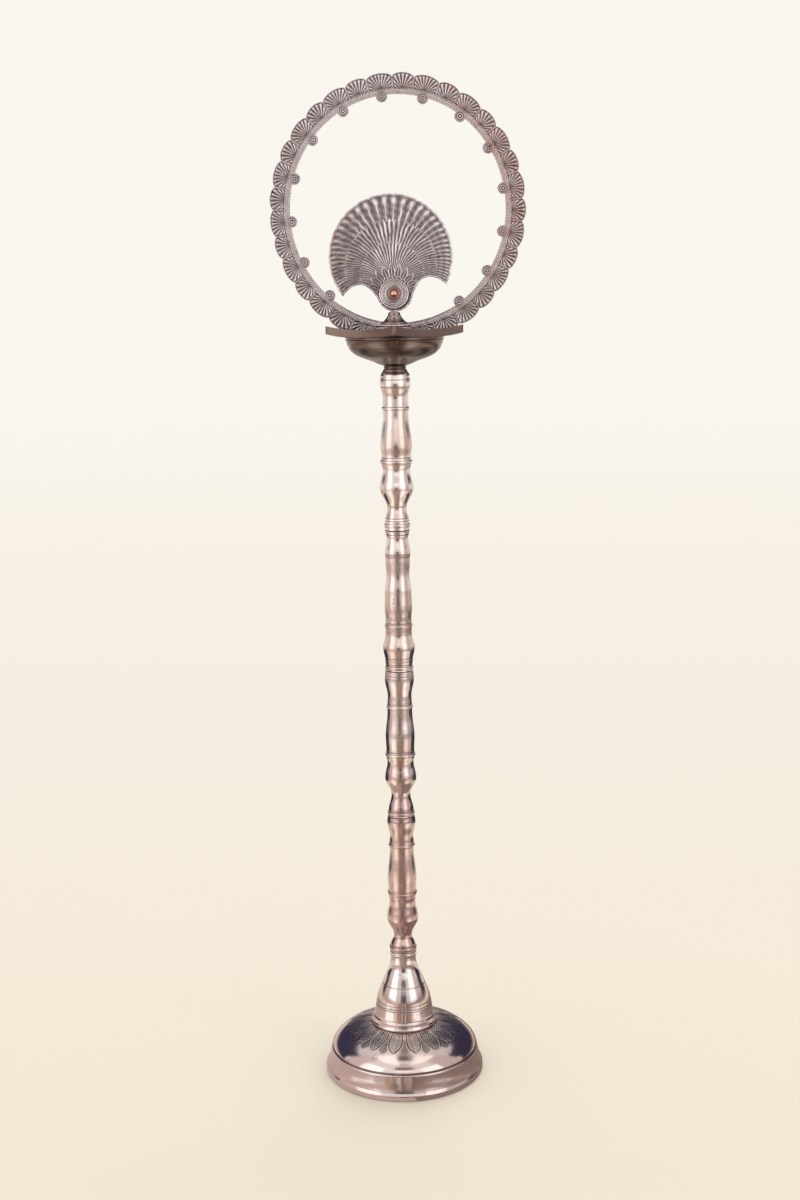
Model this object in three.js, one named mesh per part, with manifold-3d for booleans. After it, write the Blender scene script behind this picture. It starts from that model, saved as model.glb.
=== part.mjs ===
// A tall oil lamp that stands on the floor: a round cast foot, a bell, a turned stem of four screwed
// sections, a bowl with five wick spouts, and a shell-edged ring round a feathered fan.
// Millimetres, +Z up, front towards -Y, origin on the table under the stem's axis.
import * as THREE from 'three';
import { mergeVertices } from 'three/addons/utils/BufferGeometryUtils.js';
import Module from 'manifold-3d';

const wasm = await Module();
wasm.setup();

// How finely round things are divided
const footSteps = 40;
const bellSteps = 28;
const stemSteps = 20;
const studSteps = 16;

// Fits
const seatGap = 0.3;
const boreClearance = 0.3;
const boreEndRoom = 0.5;

// How far a cut runs out past the face that it opens, and how far joined solids run into each other
const cutRoom = 1;

// Foot: a flared band under a low dome, hollow underneath. Outlines are [height, radius] lists from here on
const bandOutline = [
  [0, 74.6], [4.8, 74.6], [6, 72.8], [6.6, 73.2], [10.4, 71.9], [14.2, 70.8], [18, 70], [21.8, 69.4],
  [22.7, 68.5],
];
const footWall = 3.4;
const domeEdgeStep = 2.1;
const domeRise = 24.2;
const domeFullness = 0.979;
const domeSteps = 9;
const domeUnderSteps = 6;
const washerPadRadius = 14;
const washerPadDrop = 7;

// Bell on the dome
const bellOutline = [
  [0, 30.4], [0.9, 31], [2.6, 30.4], [4.8, 29.1], [7, 28.1], [17.4, 26.6], [26, 25.1], [31.5, 22.9],
  [40, 19.3], [47.3, 16.4], [53, 13.8], [58.5, 12.2], [65.5, 11.7], [67.1, 12.4], [70.2, 12.4],
];
const bellMouthRadius = 28.4;
const bellMouthDepth = 3.2;
const bellWall = 2.6;
const bellBossDepth = 32;

// Screws that hold the lamp together
const studRadius = 5;
const studReach = 12;
const bowlStudReach = 10;
const tieStudReach = 13.5;
const tieStudTail = 3;
const tieWasherRadius = 12;
const tieWasherThickness = 2;
const tieNutRadius = 9.2;
const tieNutHeight = 8;
const centreStudRadius = 3;
const centreStudReach = 6.5;

// Stem sections from the bell up: [height above the section's foot, radius] at each swell and neck, and
// [height, radius, width] at each half-round ring
const ringStep = 0.9;
const stemSections = [
  [
    [0, 12.3], [3, 12.9, 3.2], [15.5, 8.4], [32.8, 14.7], [48.6, 12.2], [57.3, 13.8, 3], [61.2, 13],
    [72, 13.5], [98.7, 11.3], [104.4, 12.3, 3], [112.6, 10.9], [127, 13.2], [132.6, 12.5],
  ],
  [
    [0, 12.3], [2.8, 12.6, 3], [20.4, 8.7], [36.3, 14.4], [51.7, 12.1], [59.2, 14, 3], [63.6, 12.9],
    [75.4, 13.4], [99, 11.4], [104.6, 12.2, 3], [114.5, 10.9], [130, 13.3], [138.6, 12.8],
  ],
  [
    [0, 12.7], [2.8, 13.1, 2.8], [9, 12.6], [20.6, 14.4], [34.2, 11.9], [41.6, 12.8, 2.8], [47.6, 11.8],
    [57.2, 12.4], [73, 12], [89, 10.5], [102.6, 11.2], [108.6, 11.6], [122, 9.8], [128.8, 11.2],
  ],
  [
    [0, 11.4], [4.6, 12.1, 3.2], [20.3, 8.8], [38.7, 15.2], [54.8, 12.4], [61.9, 14.7, 3.2], [66.4, 13.4],
    [76, 14.4], [103.4, 11.5], [109.2, 12.4, 3], [118, 11.4], [131.4, 13.7], [138, 13.1], [143.6, 10.5],
  ],
];

// Bowl: a round body under a deep upright rim that runs out into five spouts. The body is a list of heights
// with the share of its full radius there. The rim's sides stand out over it, and the spouts over the sides
const bowlFootRadius = 9.8;
const bowlFootHeight = 2.4;
const bowlBody = [
  [4.4, 0.336], [6.7, 0.456], [9.8, 0.659], [12.6, 0.802], [16.4, 0.903], [21, 0.968], [25.4, 1],
];
const bowlRimFoot = 28.1;
const bowlRimHeight = 6.8;
const rimSideRadius = 49.6;
const rimOverhang = 6.2;
const bowlWall = 2.3;
const bowlRimWall = 1.8;
const bowlSteps = 36;
const spoutCount = 5;
const spoutRun = 14.2;
const spoutTipHalfWidth = 1.6;
const spoutSteps = 7;
const spoutTipWall = 2.8;
const spoutRise = 3.6;
const bowlBossRadius = 10;
const bowlBossHeight = 22;

// Ring of shells: large and small shells take turns round it, and a rosette sits inside each large one, but
// for the lowest two, by the bowl. It is a little taller than wide, and leans to one side of the stem
const shellPairs = 16;
const rosetteCount = 14;
const shellPitch = THREE.MathUtils.degToRad(21.9);
const largeShellShare = 0.54;
const shellSteps = 5;
const shellRoundness = 0.6;
const ringCrestRadius = 111.8;
const ringNotchDepth = 3.5;
const ringWidth = 17.8;
const ringStretch = 1.03;
const ringThickness = 3.4;
const ringDip = 16.75;
const ringCentreOffset = 4.45;
const ringTurn = THREE.MathUtils.degToRad(3.1);
const rosetteRadius = 4.9;
const rosetteInset = 1;
const hubShankRadius = 10.4;
const hubFlangeRadius = 15.4;
const hubFlangeHeight = 8.2;
const hubHeight = 16.4;
const hubSteps = 28;

// Pedestal, fan and rivet
const pedestalOutline = [
  [0, 11.8], [1.3, 11.8], [2.1, 11.2], [3.5, 8.9], [5.7, 6.9], [8.2, 5.5], [10.4, 5.1],
];
const pedestalSteps = 24;
const tongueFootHalfWidth = 3.2;
const tongueHalfWidth = 4.6;
const tongueThickness = 2.6;
const fanRivetRise = 26.4;
const fanRadius = 54.3;
const fanCentreRise = 31.4;
const fanThickness = 2.5;
const fanLobeRadius = 15.6;
const fanLobeSpread = THREE.MathUtils.degToRad(-14);
const fanHornReach = 46.1;
const fanHornPull = [3.5, 2.6];
const fanNotch = [30.6, 10.9];
const fanNotchPull = 8;
const fanLobePull = [2, 4.6];
const fanOffset = 0.9;
const fanLean = THREE.MathUtils.degToRad(-5.85);
const fanSteps = 12;
const medallionRadius = 13;
const medallionThickness = 0.9;
const washerSteps = 20;
const rivetRadius = 1.8;
const rivetHeadRadius = 2.6;
const rivetHeadHeight = 1.7;
const rivetTailRadius = 3;
const rivetTailHeight = 1.2;
const copperWasherRadius = 5.1;
const copperWasherThickness = 0.9;
const backWasherRadius = 4;
const backWasherThickness = 0.8;

// Heights that follow from the sizes above
const [bandTop, domeEdgeRadius] = bandOutline.at(-1);
const domeEdgeHeight = bandTop + domeEdgeStep;
const bellHeight = heightOf(bellOutline);
const bellFoot = domeHeightAt(bellMouthRadius) + seatGap;
const stemFoot = bellFoot + bellHeight + seatGap;
const sectionFeet = [];
let stemTop = stemFoot;
for (const section of stemSections) {
  sectionFeet.push(stemTop);
  stemTop += heightOf(section) + seatGap;
}
const bowlFoot = stemTop;
const hubFoot = bowlFoot + bowlBossHeight + seatGap;
const hubTop = hubFoot + hubHeight;
const pedestalFoot = hubTop + seatGap;
const rivetHeight = pedestalFoot + fanRivetRise;
const studBoreRadius = studRadius + boreClearance;
const centreBoreRadius = centreStudRadius + boreClearance;
const rivetBoreRadius = rivetRadius + boreClearance;
const fanFront = -fanThickness;
const spoutReach = rimSideRadius + spoutRun;
const ringInnerRadius = ringCrestRadius - ringWidth;
const ringCentreRise = ringCrestRadius * ringStretch - ringDip;

// Materials
const paleBrass = { color: 0xc9a58c, roughness: 0.22, metalness: 1 };
const darkBrass = { color: 0x8a6a50, roughness: 0.32, metalness: 1 };
const castBrass = { color: 0xa98f82, roughness: 0.42, metalness: 1 };
const screwBrass = { color: 0xb08a4e, roughness: 0.4, metalness: 1 };
const copper = { color: 0xb4674e, roughness: 0.35, metalness: 1 };
const steel = { color: 0x9a9a98, roughness: 0.4, metalness: 1 };

const lamp = new THREE.Group();

function add(name, geometry, look) {
  const mesh = new THREE.Mesh(geometry, new THREE.MeshStandardMaterial(look));
  mesh.name = name;
  lamp.add(mesh);
  return mesh;
}

// The height of an outline's last station
function heightOf(outline) {
  return outline.at(-1)[0];
}

// Turns [height, radius] pairs into [radius, height] points
function pointsOf(outline) {
  return outline.map(([height, radius]) => [radius, height]);
}

// A solid of revolution about +Z from [radius, height] points, listed bottom to top along the outside
function turned(profile, steps) {
  const points = profile.map(([radius, height]) => new THREE.Vector2(radius, height));
  return new THREE.LatheGeometry(points, steps).rotateX(Math.PI / 2);
}

// The same, closed on itself round a hole along the axis
function turnedRing(profile, steps) {
  return turned([...profile, profile[0]], steps);
}

// A plain upright cylinder between two heights
function post(radius, bottom, top) {
  return turned([[0, bottom], [radius, bottom], [radius, top], [0, top]], studSteps);
}

function toSolid(geometry) {
  const plain = geometry.clone();
  plain.deleteAttribute('normal');
  plain.deleteAttribute('uv');
  const merged = mergeVertices(plain, 1e-4);
  const corners = [];
  const index = merged.index.array;
  for (let i = 0; i < index.length; i += 3) {
    const [a, b, c] = [index[i], index[i + 1], index[i + 2]];
    if (a !== b && b !== c && c !== a) corners.push(a, b, c);
  }
  const vertProperties = new Float32Array(merged.attributes.position.array);
  const triVerts = new Uint32Array(corners);
  return new wasm.Manifold(new wasm.Mesh({ numProp: 3, vertProperties, triVerts }));
}

function toGeometry(solid) {
  const mesh = solid.getMesh();
  const geometry = new THREE.BufferGeometry();
  geometry.setAttribute('position', new THREE.BufferAttribute(new Float32Array(mesh.vertProperties), 3));
  geometry.setIndex(new THREE.BufferAttribute(new Uint32Array(mesh.triVerts), 1));
  geometry.computeVertexNormals();
  return geometry;
}

// An upright slab cut from an outline in the XZ plane, from the depth y = front to y = front + thickness
function slab(shape, front, thickness, curveSegments = studSteps / 2) {
  const geometry = new THREE.ExtrudeGeometry(shape, { depth: thickness, bevelEnabled: false, curveSegments });
  return geometry.rotateX(Math.PI / 2).translate(0, front + thickness, 0);
}

// A level plate cut from an outline in the XY plane
function plate(shape, bottom, thickness, curveSegments = studSteps / 2) {
  const geometry = new THREE.ExtrudeGeometry(shape, { depth: thickness, bevelEnabled: false, curveSegments });
  return geometry.translate(0, 0, bottom);
}

function ease(share) {
  return (1 - Math.cos(Math.PI * share)) / 2;
}

// The height of the dome's outer face, or of a face that lies a wall inside it
function domeHeightAt(radius, wall = 0) {
  const edgeShare = Math.sqrt(1 - domeFullness ** 2);
  const rise = domeRise / (1 - edgeShare);
  const across = radius / (domeEdgeRadius / domeFullness - wall);
  return domeEdgeHeight - rise * edgeShare + (rise - wall) * Math.sqrt(Math.max(0, 1 - across ** 2));
}

function domeOutline(fromRadius, toRadius, wall, steps) {
  const outline = [];
  for (let i = 0; i <= steps; i += 1) {
    const turn = Math.sin((Math.PI / 2) * (1 - i / steps));
    const radius = toRadius + (fromRadius - toRadius) * turn;
    outline.push([radius, domeHeightAt(radius, wall)]);
  }
  return outline;
}

function footGeometry() {
  const padHeight = domeHeightAt(0) - washerPadDrop;
  const underEdge = domeEdgeRadius - footWall;
  return turnedRing([
    [bandOutline[0][1] - footWall, 0],
    ...pointsOf(bandOutline),
    ...domeOutline(domeEdgeRadius, studBoreRadius, 0, domeSteps),
    [studBoreRadius, padHeight],
    [washerPadRadius, padHeight],
    ...domeOutline(underEdge, washerPadRadius, footWall, domeUnderSteps).reverse(),
  ], footSteps);
}

function bellGeometry() {
  const cavityTop = bellHeight - bellBossDepth;
  const outside = turned([
    [0, 0],
    ...pointsOf(bellOutline),
    [studBoreRadius, bellHeight],
    [studBoreRadius, bellHeight - studReach - boreEndRoom],
    [0, bellHeight - studReach - boreEndRoom],
  ], bellSteps);
  const wallLine = bellOutline.filter(([height]) => height > bellMouthDepth && height < cavityTop);
  const cavity = turned([
    [0, -seatGap],
    [bellMouthRadius, -seatGap],
    [bellMouthRadius, bellMouthDepth / 2],
    ...wallLine.map(([height, radius]) => [radius - bellWall, height]),
    [wallLine.at(-1)[1] - 2 * bellWall, cavityTop],
    [studBoreRadius, cavityTop],
    [studBoreRadius, cavityTop + tieStudReach + boreEndRoom],
    [0, cavityTop + tieStudReach + boreEndRoom],
  ], bellSteps);
  return toGeometry(toSolid(outside).subtract(toSolid(cavity)));
}

// The outside of a stem section: it eases from station to station and steps out at the half-round rings
function sectionOutline(stations) {
  const outline = [];
  stations.forEach(([height, radius, width], i) => {
    const half = (width ?? 0) / 2;
    const rootRadius = width ? radius - ringStep : radius;
    if (i > 0) {
      const [fromRadius, fromHeight] = outline.at(-1);
      const span = height - half - fromHeight;
      const steps = span > 9 ? 3 : span > 4 ? 2 : 1;
      for (let k = 1; k < steps; k += 1) {
        const share = k / steps;
        outline.push([fromRadius + (rootRadius - fromRadius) * ease(share), fromHeight + span * share]);
      }
    }
    outline.push([rootRadius, height - half]);
    if (width) {
      outline.push([radius, height - half / 2], [radius, height + half / 2], [rootRadius, height + half]);
    }
  });
  return outline;
}

function sectionGeometry(stations) {
  const length = heightOf(stations);
  const depth = studReach + boreEndRoom;
  return turned([
    [0, depth],
    [studBoreRadius, depth],
    [studBoreRadius, 0],
    ...sectionOutline(stations),
    [studBoreRadius, length],
    [studBoreRadius, length - depth],
    [0, length - depth],
  ], stemSteps);
}

function rodGeometry(radius, length) {
  const chamfer = radius / 6;
  return turned([
    [0, 0],
    [radius - chamfer, 0],
    [radius, chamfer],
    [radius, length - chamfer],
    [radius - chamfer, length],
    [0, length],
  ], studSteps);
}

function washerGeometry(radius, boreRadius, thickness) {
  const section = [[boreRadius, 0], [radius, 0], [radius, thickness], [boreRadius, thickness]];
  return turnedRing(section, washerSteps);
}

function hexNutGeometry() {
  const hexagon = new THREE.Shape();
  for (let i = 0; i < 6; i += 1) {
    const angle = (i * Math.PI) / 3;
    const corner = [tieNutRadius * Math.cos(angle), tieNutRadius * Math.sin(angle)];
    if (i === 0) hexagon.moveTo(...corner);
    else hexagon.lineTo(...corner);
  }
  hexagon.holes.push(new THREE.Path().absarc(0, 0, studBoreRadius, 0, 2 * Math.PI, true));
  return plate(hexagon, 0, tieNutHeight);
}

// The rim seen from above: five round spout tips, the first along -Y, with sides that draw in between them
function rimShape(reach, sideRadius, tipHalfWidth) {
  const shape = new THREE.Shape();
  const turn = (2 * Math.PI) / spoutCount;
  const centre = new THREE.Vector2();
  const spot = (across, out, step) => new THREE.Vector2(across, -out).rotateAround(centre, step * turn);
  const shoulder = reach - tipHalfWidth;
  const bend = 2 * sideRadius - shoulder * Math.cos(turn / 2) - tipHalfWidth * Math.sin(turn / 2);
  shape.moveTo(...spot(-tipHalfWidth, shoulder, 0));
  for (let i = 0; i < spoutCount; i += 1) {
    const next = (i + 1) % spoutCount;
    shape.quadraticCurveTo(...spot(0, reach, i), ...spot(tipHalfWidth, shoulder, i));
    shape.quadraticCurveTo(...spot(0, bend, i + 0.5), ...spot(-tipHalfWidth, shoulder, next));
  }
  return shape;
}

// The spouts climb a little towards their tips
function liftSpouts(geometry) {
  const position = geometry.attributes.position;
  for (let i = 0; i < position.count; i += 1) {
    const reach = Math.hypot(position.getX(i), position.getY(i)) - rimSideRadius;
    const height = position.getZ(i);
    if (reach > 0 && height > bowlRimFoot - seatGap) {
      position.setZ(i, height + (spoutRise * reach) / spoutRun);
    }
  }
  return geometry;
}

function bowlGeometry() {
  const bodyTop = heightOf(bowlBody);
  const bodyRadius = rimSideRadius - rimOverhang;
  const body = bowlBody.map(([height, share]) => [height, share * bodyRadius]);
  const rimTop = bowlRimFoot + bowlRimHeight;
  const outside = turned([
    [0, 0],
    [bowlFootRadius, 0],
    [bowlFootRadius, bowlFootHeight],
    ...pointsOf(body),
    [bodyRadius, bowlRimFoot + bowlWall],
    [0, bowlRimFoot + bowlWall],
  ], bowlSteps);
  const floor = body.filter(([, radius]) => radius > bowlBossRadius + 2 * bowlWall);
  const inside = turned([
    [0, floor[0][0] + bowlWall],
    ...floor.map(([height, radius]) => [radius - bowlWall, height + bowlWall * (1 - height / bodyTop)]),
    [bodyRadius - bowlWall, rimTop + cutRoom],
    [0, rimTop + cutRoom],
  ], bowlSteps);
  const outerShape = rimShape(spoutReach, rimSideRadius, spoutTipHalfWidth);
  const innerShape = rimShape(spoutReach - spoutTipWall, rimSideRadius - bowlRimWall, spoutTipHalfWidth / 2);
  const rim = plate(outerShape, bowlRimFoot, bowlRimHeight, spoutSteps);
  const rimCavity = plate(innerShape, bowlRimFoot + bowlRimWall, bowlRimHeight, spoutSteps);
  const boss = post(bowlBossRadius, bowlFootHeight / 2, bowlBossHeight);
  const footBore = post(studBoreRadius, -cutRoom, bowlStudReach + boreEndRoom);
  const bossBoreFoot = bowlBossHeight - centreStudReach - boreEndRoom;
  const bossBore = post(centreBoreRadius, bossBoreFoot, bowlBossHeight + cutRoom);
  const bowl = toSolid(outside)
    .add(toSolid(rim))
    .subtract(toSolid(inside))
    .subtract(toSolid(rimCavity))
    .add(toSolid(boss))
    .subtract(toSolid(footBore))
    .subtract(toSolid(bossBore));
  return liftSpouts(toGeometry(bowl));
}

// Points on a circle's face from [angle from the top, radius] pairs
function polarPoints(pairs) {
  const point = ([angle, radius]) => new THREE.Vector2(radius * Math.sin(angle), radius * Math.cos(angle));
  return pairs.map(point);
}

// The angles that the pairs of shells span, from the top: even ones with a rosette, wider ones at the bottom
function shellSpans() {
  const plainPitch = (2 * Math.PI - rosetteCount * shellPitch) / (shellPairs - rosetteCount);
  const spans = [];
  let middle = -((rosetteCount - 1) * shellPitch) / 2;
  for (let i = 0; i < shellPairs; i += 1) {
    const pitch = i < rosetteCount ? shellPitch : plainPitch;
    spans.push({ middle, half: (pitch * largeShellShare) / 2, rosette: i < rosetteCount });
    middle += pitch / 2 + (i + 1 < rosetteCount ? shellPitch : plainPitch) / 2;
  }
  return spans;
}

// A round lobe between two angles, without its last point
function lobe(from, to) {
  const edge = [];
  for (let k = 0; k < shellSteps; k += 1) {
    const share = k / shellSteps;
    const fall = 1 - (1 - (2 * share - 1) ** 2) ** shellRoundness;
    edge.push([from + (to - from) * share, ringCrestRadius - ringNotchDepth * fall]);
  }
  return edge;
}

// The scalloped outside of the ring, one round lobe for each shell
function ringShape() {
  const spans = shellSpans();
  const edge = [];
  spans.forEach(({ middle, half }, i) => {
    const next = spans[(i + 1) % shellPairs];
    const lap = i + 1 < shellPairs ? 0 : 2 * Math.PI;
    edge.push(...lobe(middle - half, middle + half));
    edge.push(...lobe(middle + half, next.middle + lap - next.half));
  });
  const shape = new THREE.Shape(polarPoints(edge));
  shape.holes.push(ringHole(spans));
  return shape;
}

// The ring's inner edge, run the other way round, with the rosettes standing into the hole
function ringHole(spans) {
  const reach = Math.asin(rosetteRadius / ringInnerRadius);
  const plainSteps = 4;
  const rosetteSteps = 6;
  const edge = [];
  spans.forEach(({ middle, rosette }, i) => {
    const next = spans[(i + 1) % shellPairs].middle + (i + 1 < shellPairs ? 0 : 2 * Math.PI);
    if (rosette) {
      for (let k = 0; k <= rosetteSteps; k += 1) {
        const turn = (Math.PI * k) / rosetteSteps;
        const inward = rosetteInset + rosetteRadius * Math.sin(turn);
        edge.push([middle - reach * Math.cos(turn), ringInnerRadius - inward]);
      }
    } else {
      edge.push(...[-reach, 0, reach].map((turn) => [middle + turn, ringInnerRadius]));
    }
    for (let k = 1; k < plainSteps; k += 1) {
      edge.push([middle + reach + ((next - middle - 2 * reach) * k) / plainSteps, ringInnerRadius]);
    }
  });
  return new THREE.Path(polarPoints(edge).reverse());
}

// The cast ring with the hub that stands on the bowl's boss, relieved where it dips into the bowl
function haloGeometry() {
  const band = slab(ringShape(), -ringThickness / 2, ringThickness)
    .rotateY(ringTurn)
    .scale(1, 1, ringStretch)
    .translate(ringCentreOffset, 0, hubHeight + ringCentreRise);
  const bowl = toSolid(bowlGeometry()).translate([0, 0, -bowlBossHeight - seatGap]);
  const flangeFoot = hubHeight - hubFlangeHeight;
  const hub = turned([
    [0, 0],
    [hubShankRadius, 0],
    [hubShankRadius, flangeFoot - (hubFlangeRadius - hubShankRadius) / 2],
    [hubFlangeRadius, flangeFoot],
    [hubFlangeRadius, hubHeight],
    [0, hubHeight],
  ], hubSteps);
  const above = turned([
    [0, hubHeight],
    [hubFlangeRadius, hubHeight],
    [hubFlangeRadius, 2 * hubHeight],
    [0, 2 * hubHeight],
  ], hubSteps);
  const bore = post(centreBoreRadius, -cutRoom, hubHeight + cutRoom);
  const ring = toSolid(band)
    .subtract(toSolid(above))
    .subtract(bowl.translate([0, 0, seatGap]))
    .subtract(bowl.translate([seatGap, 0, 0]))
    .subtract(bowl.translate([-seatGap, 0, 0]))
    .add(toSolid(hub))
    .subtract(toSolid(bore));
  return toGeometry(ring);
}

// A turned foot whose neck carries a flat tongue behind the fan, up to the rivet
function pedestalGeometry() {
  const neckTop = heightOf(pedestalOutline);
  const depth = centreStudReach + boreEndRoom;
  const foot = turned([
    [0, depth],
    [centreBoreRadius, depth],
    [centreBoreRadius, 0],
    ...pointsOf(pedestalOutline),
    [0, neckTop],
  ], pedestalSteps);
  const tongueBottom = neckTop - cutRoom;
  const tongue = new THREE.Shape();
  tongue.moveTo(-tongueFootHalfWidth, tongueBottom);
  tongue.lineTo(tongueFootHalfWidth, tongueBottom);
  tongue.lineTo(tongueHalfWidth, fanRivetRise);
  tongue.absarc(0, fanRivetRise, tongueHalfWidth, 0, Math.PI, false);
  tongue.lineTo(-tongueFootHalfWidth, tongueBottom);
  const blade = slab(tongue, seatGap, tongueThickness);
  const boreLength = seatGap + tongueThickness + cutRoom;
  const bore = lyingRod(rivetBoreRadius, 0, boreLength, studSteps).translate(0, 0, fanRivetRise);
  return toGeometry(toSolid(foot).add(toSolid(blade)).subtract(toSolid(bore)));
}

// A round rod along +Y
function lyingRod(radius, front, length, steps) {
  return new THREE.CylinderGeometry(radius, radius, length, steps).translate(0, front + length / 2, 0);
}

// The fan's outline about its rivet: a round top, two horns, two arched notches and a round lobe below
function fanShape() {
  const shape = new THREE.Shape();
  const hornAngle = -Math.acos(fanHornReach / fanRadius);
  const horn = [fanHornReach, fanCentreRise + fanRadius * Math.sin(hornAngle)];
  const lobe = [fanLobeRadius * Math.cos(fanLobeSpread), fanLobeRadius * Math.sin(fanLobeSpread)];
  const hornPull = [horn[0] - fanHornPull[0], horn[1] + fanHornPull[1]];
  const lobePull = [lobe[0] + fanLobePull[0], lobe[1] + fanLobePull[1]];
  const [notch, arch] = fanNotch;
  shape.absarc(0, fanCentreRise, fanRadius, hornAngle, Math.PI - hornAngle, false);
  shape.bezierCurveTo(-hornPull[0], hornPull[1], -notch - fanNotchPull, arch, -notch, arch);
  shape.bezierCurveTo(-notch + fanNotchPull, arch, -lobePull[0], lobePull[1], -lobe[0], lobe[1]);
  shape.absarc(0, 0, fanLobeRadius, Math.PI - fanLobeSpread, 2 * Math.PI + fanLobeSpread, false);
  shape.bezierCurveTo(lobePull[0], lobePull[1], notch - fanNotchPull, arch, notch, arch);
  shape.bezierCurveTo(notch + fanNotchPull, arch, hornPull[0], hornPull[1], horn[0], horn[1]);
  return shape;
}

function fanGeometry() {
  const body = slab(fanShape(), fanFront, fanThickness, fanSteps).translate(fanOffset, 0, 0);
  const medallionFront = fanFront - medallionThickness;
  const medallion = lyingRod(medallionRadius, medallionFront, medallionThickness + cutRoom, hubSteps);
  const bore = lyingRod(rivetBoreRadius, 2 * fanFront, 3 * fanThickness, studSteps);
  return toGeometry(toSolid(body).add(toSolid(medallion)).subtract(toSolid(bore))).rotateY(fanLean);
}

// The rivet's shank with a domed head in front and a peened end behind, along +Y
function rivetGeometry(headFace, tailFace) {
  const dome = [];
  const steps = 4;
  for (let i = 0; i <= steps; i += 1) {
    const turn = (Math.PI / 2) * (i / steps);
    dome.push([rivetHeadRadius * Math.sin(turn), headFace - rivetHeadHeight * Math.cos(turn)]);
  }
  return turned([
    ...dome,
    [rivetRadius, headFace],
    [rivetRadius, tailFace],
    [rivetTailRadius, tailFace],
    [(rivetTailRadius + rivetRadius) / 2, tailFace + rivetTailHeight],
    [0, tailFace + rivetTailHeight],
  ], studSteps).rotateX(-Math.PI / 2);
}

// Base: the foot, the bell on it, and the rod, washer and nut that clamp the two from below
add('base_foot', footGeometry(), paleBrass);
add('base_bell', bellGeometry(), paleBrass).position.z = bellFoot;
const washerTop = domeHeightAt(0) - washerPadDrop - seatGap;
const washerFoot = washerTop - tieWasherThickness;
const nutFoot = washerFoot - seatGap - tieNutHeight;
const tieStudTop = bellFoot + bellHeight - bellBossDepth + tieStudReach;
const tieStudFoot = nutFoot - tieStudTail;
add('base_tie_rod', rodGeometry(studRadius, tieStudTop - tieStudFoot), steel).position.z = tieStudFoot;
const tieWasher = washerGeometry(tieWasherRadius, studBoreRadius, tieWasherThickness);
add('base_tie_washer', tieWasher, steel).position.z = washerFoot;
add('base_tie_nut', hexNutGeometry(), steel).position.z = nutFoot;

// Stem: each section screws down on a stud that stands in the piece under it
stemSections.forEach((section, i) => {
  add(`stem_section_${i + 1}`, sectionGeometry(section), paleBrass).position.z = sectionFeet[i];
  const studFoot = sectionFeet[i] - seatGap - studReach;
  const stud = rodGeometry(studRadius, 2 * studReach + seatGap);
  add(`stem_stud_${i + 1}`, stud, screwBrass).position.z = studFoot;
});

// Bowl, ring and the studs under and over them
const bowlStud = rodGeometry(studRadius, studReach + seatGap + bowlStudReach);
add('bowl_stud', bowlStud, screwBrass).position.z = bowlFoot - seatGap - studReach;
add('oil_bowl', bowlGeometry(), darkBrass).position.z = bowlFoot;
add('halo_ring', haloGeometry(), castBrass).position.z = hubFoot;
const centreStudFoot = bowlFoot + bowlBossHeight - centreStudReach;
const centreStud = rodGeometry(centreStudRadius, pedestalFoot + centreStudReach - centreStudFoot);
add('centre_stud', centreStud, screwBrass).position.z = centreStudFoot;

// Finial: the pedestal and the fan that is riveted to its tongue
add('finial_pedestal', pedestalGeometry(), paleBrass).position.z = pedestalFoot;
add('fan_plate', fanGeometry(), castBrass).position.z = rivetHeight;
const copperBack = fanFront - medallionThickness - seatGap;
const copperWasher = washerGeometry(copperWasherRadius, rivetBoreRadius, copperWasherThickness)
  .rotateX(-Math.PI / 2)
  .translate(0, copperBack - copperWasherThickness, 0);
add('fan_copper_washer', copperWasher, copper).position.z = rivetHeight;
const backWasherFront = seatGap + tongueThickness + seatGap;
const backWasher = washerGeometry(backWasherRadius, rivetBoreRadius, backWasherThickness)
  .rotateX(-Math.PI / 2)
  .translate(0, backWasherFront, 0);
add('fan_back_washer', backWasher, screwBrass).position.z = rivetHeight;
const headFace = copperBack - copperWasherThickness - seatGap;
const tailFace = backWasherFront + backWasherThickness + seatGap;
add('fan_rivet', rivetGeometry(headFace, tailFace), screwBrass).position.z = rivetHeight;

export default lamp;
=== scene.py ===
"""A standing oil lamp in cast and turned brass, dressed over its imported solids."""
import math

import bmesh
import bpy
import numpy as np
from mathutils import Matrix, Vector


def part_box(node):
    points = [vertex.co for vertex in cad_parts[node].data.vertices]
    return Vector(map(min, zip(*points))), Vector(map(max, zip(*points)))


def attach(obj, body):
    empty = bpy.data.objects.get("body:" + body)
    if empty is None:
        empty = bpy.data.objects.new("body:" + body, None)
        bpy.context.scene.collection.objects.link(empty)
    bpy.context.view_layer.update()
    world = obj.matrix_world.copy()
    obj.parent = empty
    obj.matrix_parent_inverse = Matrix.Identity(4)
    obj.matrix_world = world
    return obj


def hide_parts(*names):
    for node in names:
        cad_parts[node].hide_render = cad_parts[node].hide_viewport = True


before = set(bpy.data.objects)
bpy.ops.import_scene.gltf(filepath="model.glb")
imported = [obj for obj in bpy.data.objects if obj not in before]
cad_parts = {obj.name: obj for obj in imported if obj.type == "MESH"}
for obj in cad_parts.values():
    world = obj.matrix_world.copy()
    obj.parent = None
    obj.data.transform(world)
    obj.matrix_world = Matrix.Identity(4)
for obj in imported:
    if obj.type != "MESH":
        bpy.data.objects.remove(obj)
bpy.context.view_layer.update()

MM = 0.001
TAU = 2 * math.pi
SEAT_GAP = 0.3
STUD_BORE = 5.3
STUD_DEPTH = 12.5
CENTRE_BORE = 3.3
CENTRE_DEPTH = 7
WELD = 0.001  # points closer than this are one


# Mesh tools. Shapes are made in millimetres


def foot_of(node):
    """The height of a solid's lowest point."""
    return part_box(node)[0].z / MM


def tuned(thing, **settings):
    for name, value in settings.items():
        setattr(thing, name, value)
    return thing


def placed(name, data):
    made = bpy.data.objects.new(name, data)
    bpy.context.scene.collection.objects.link(made)
    return made


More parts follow.
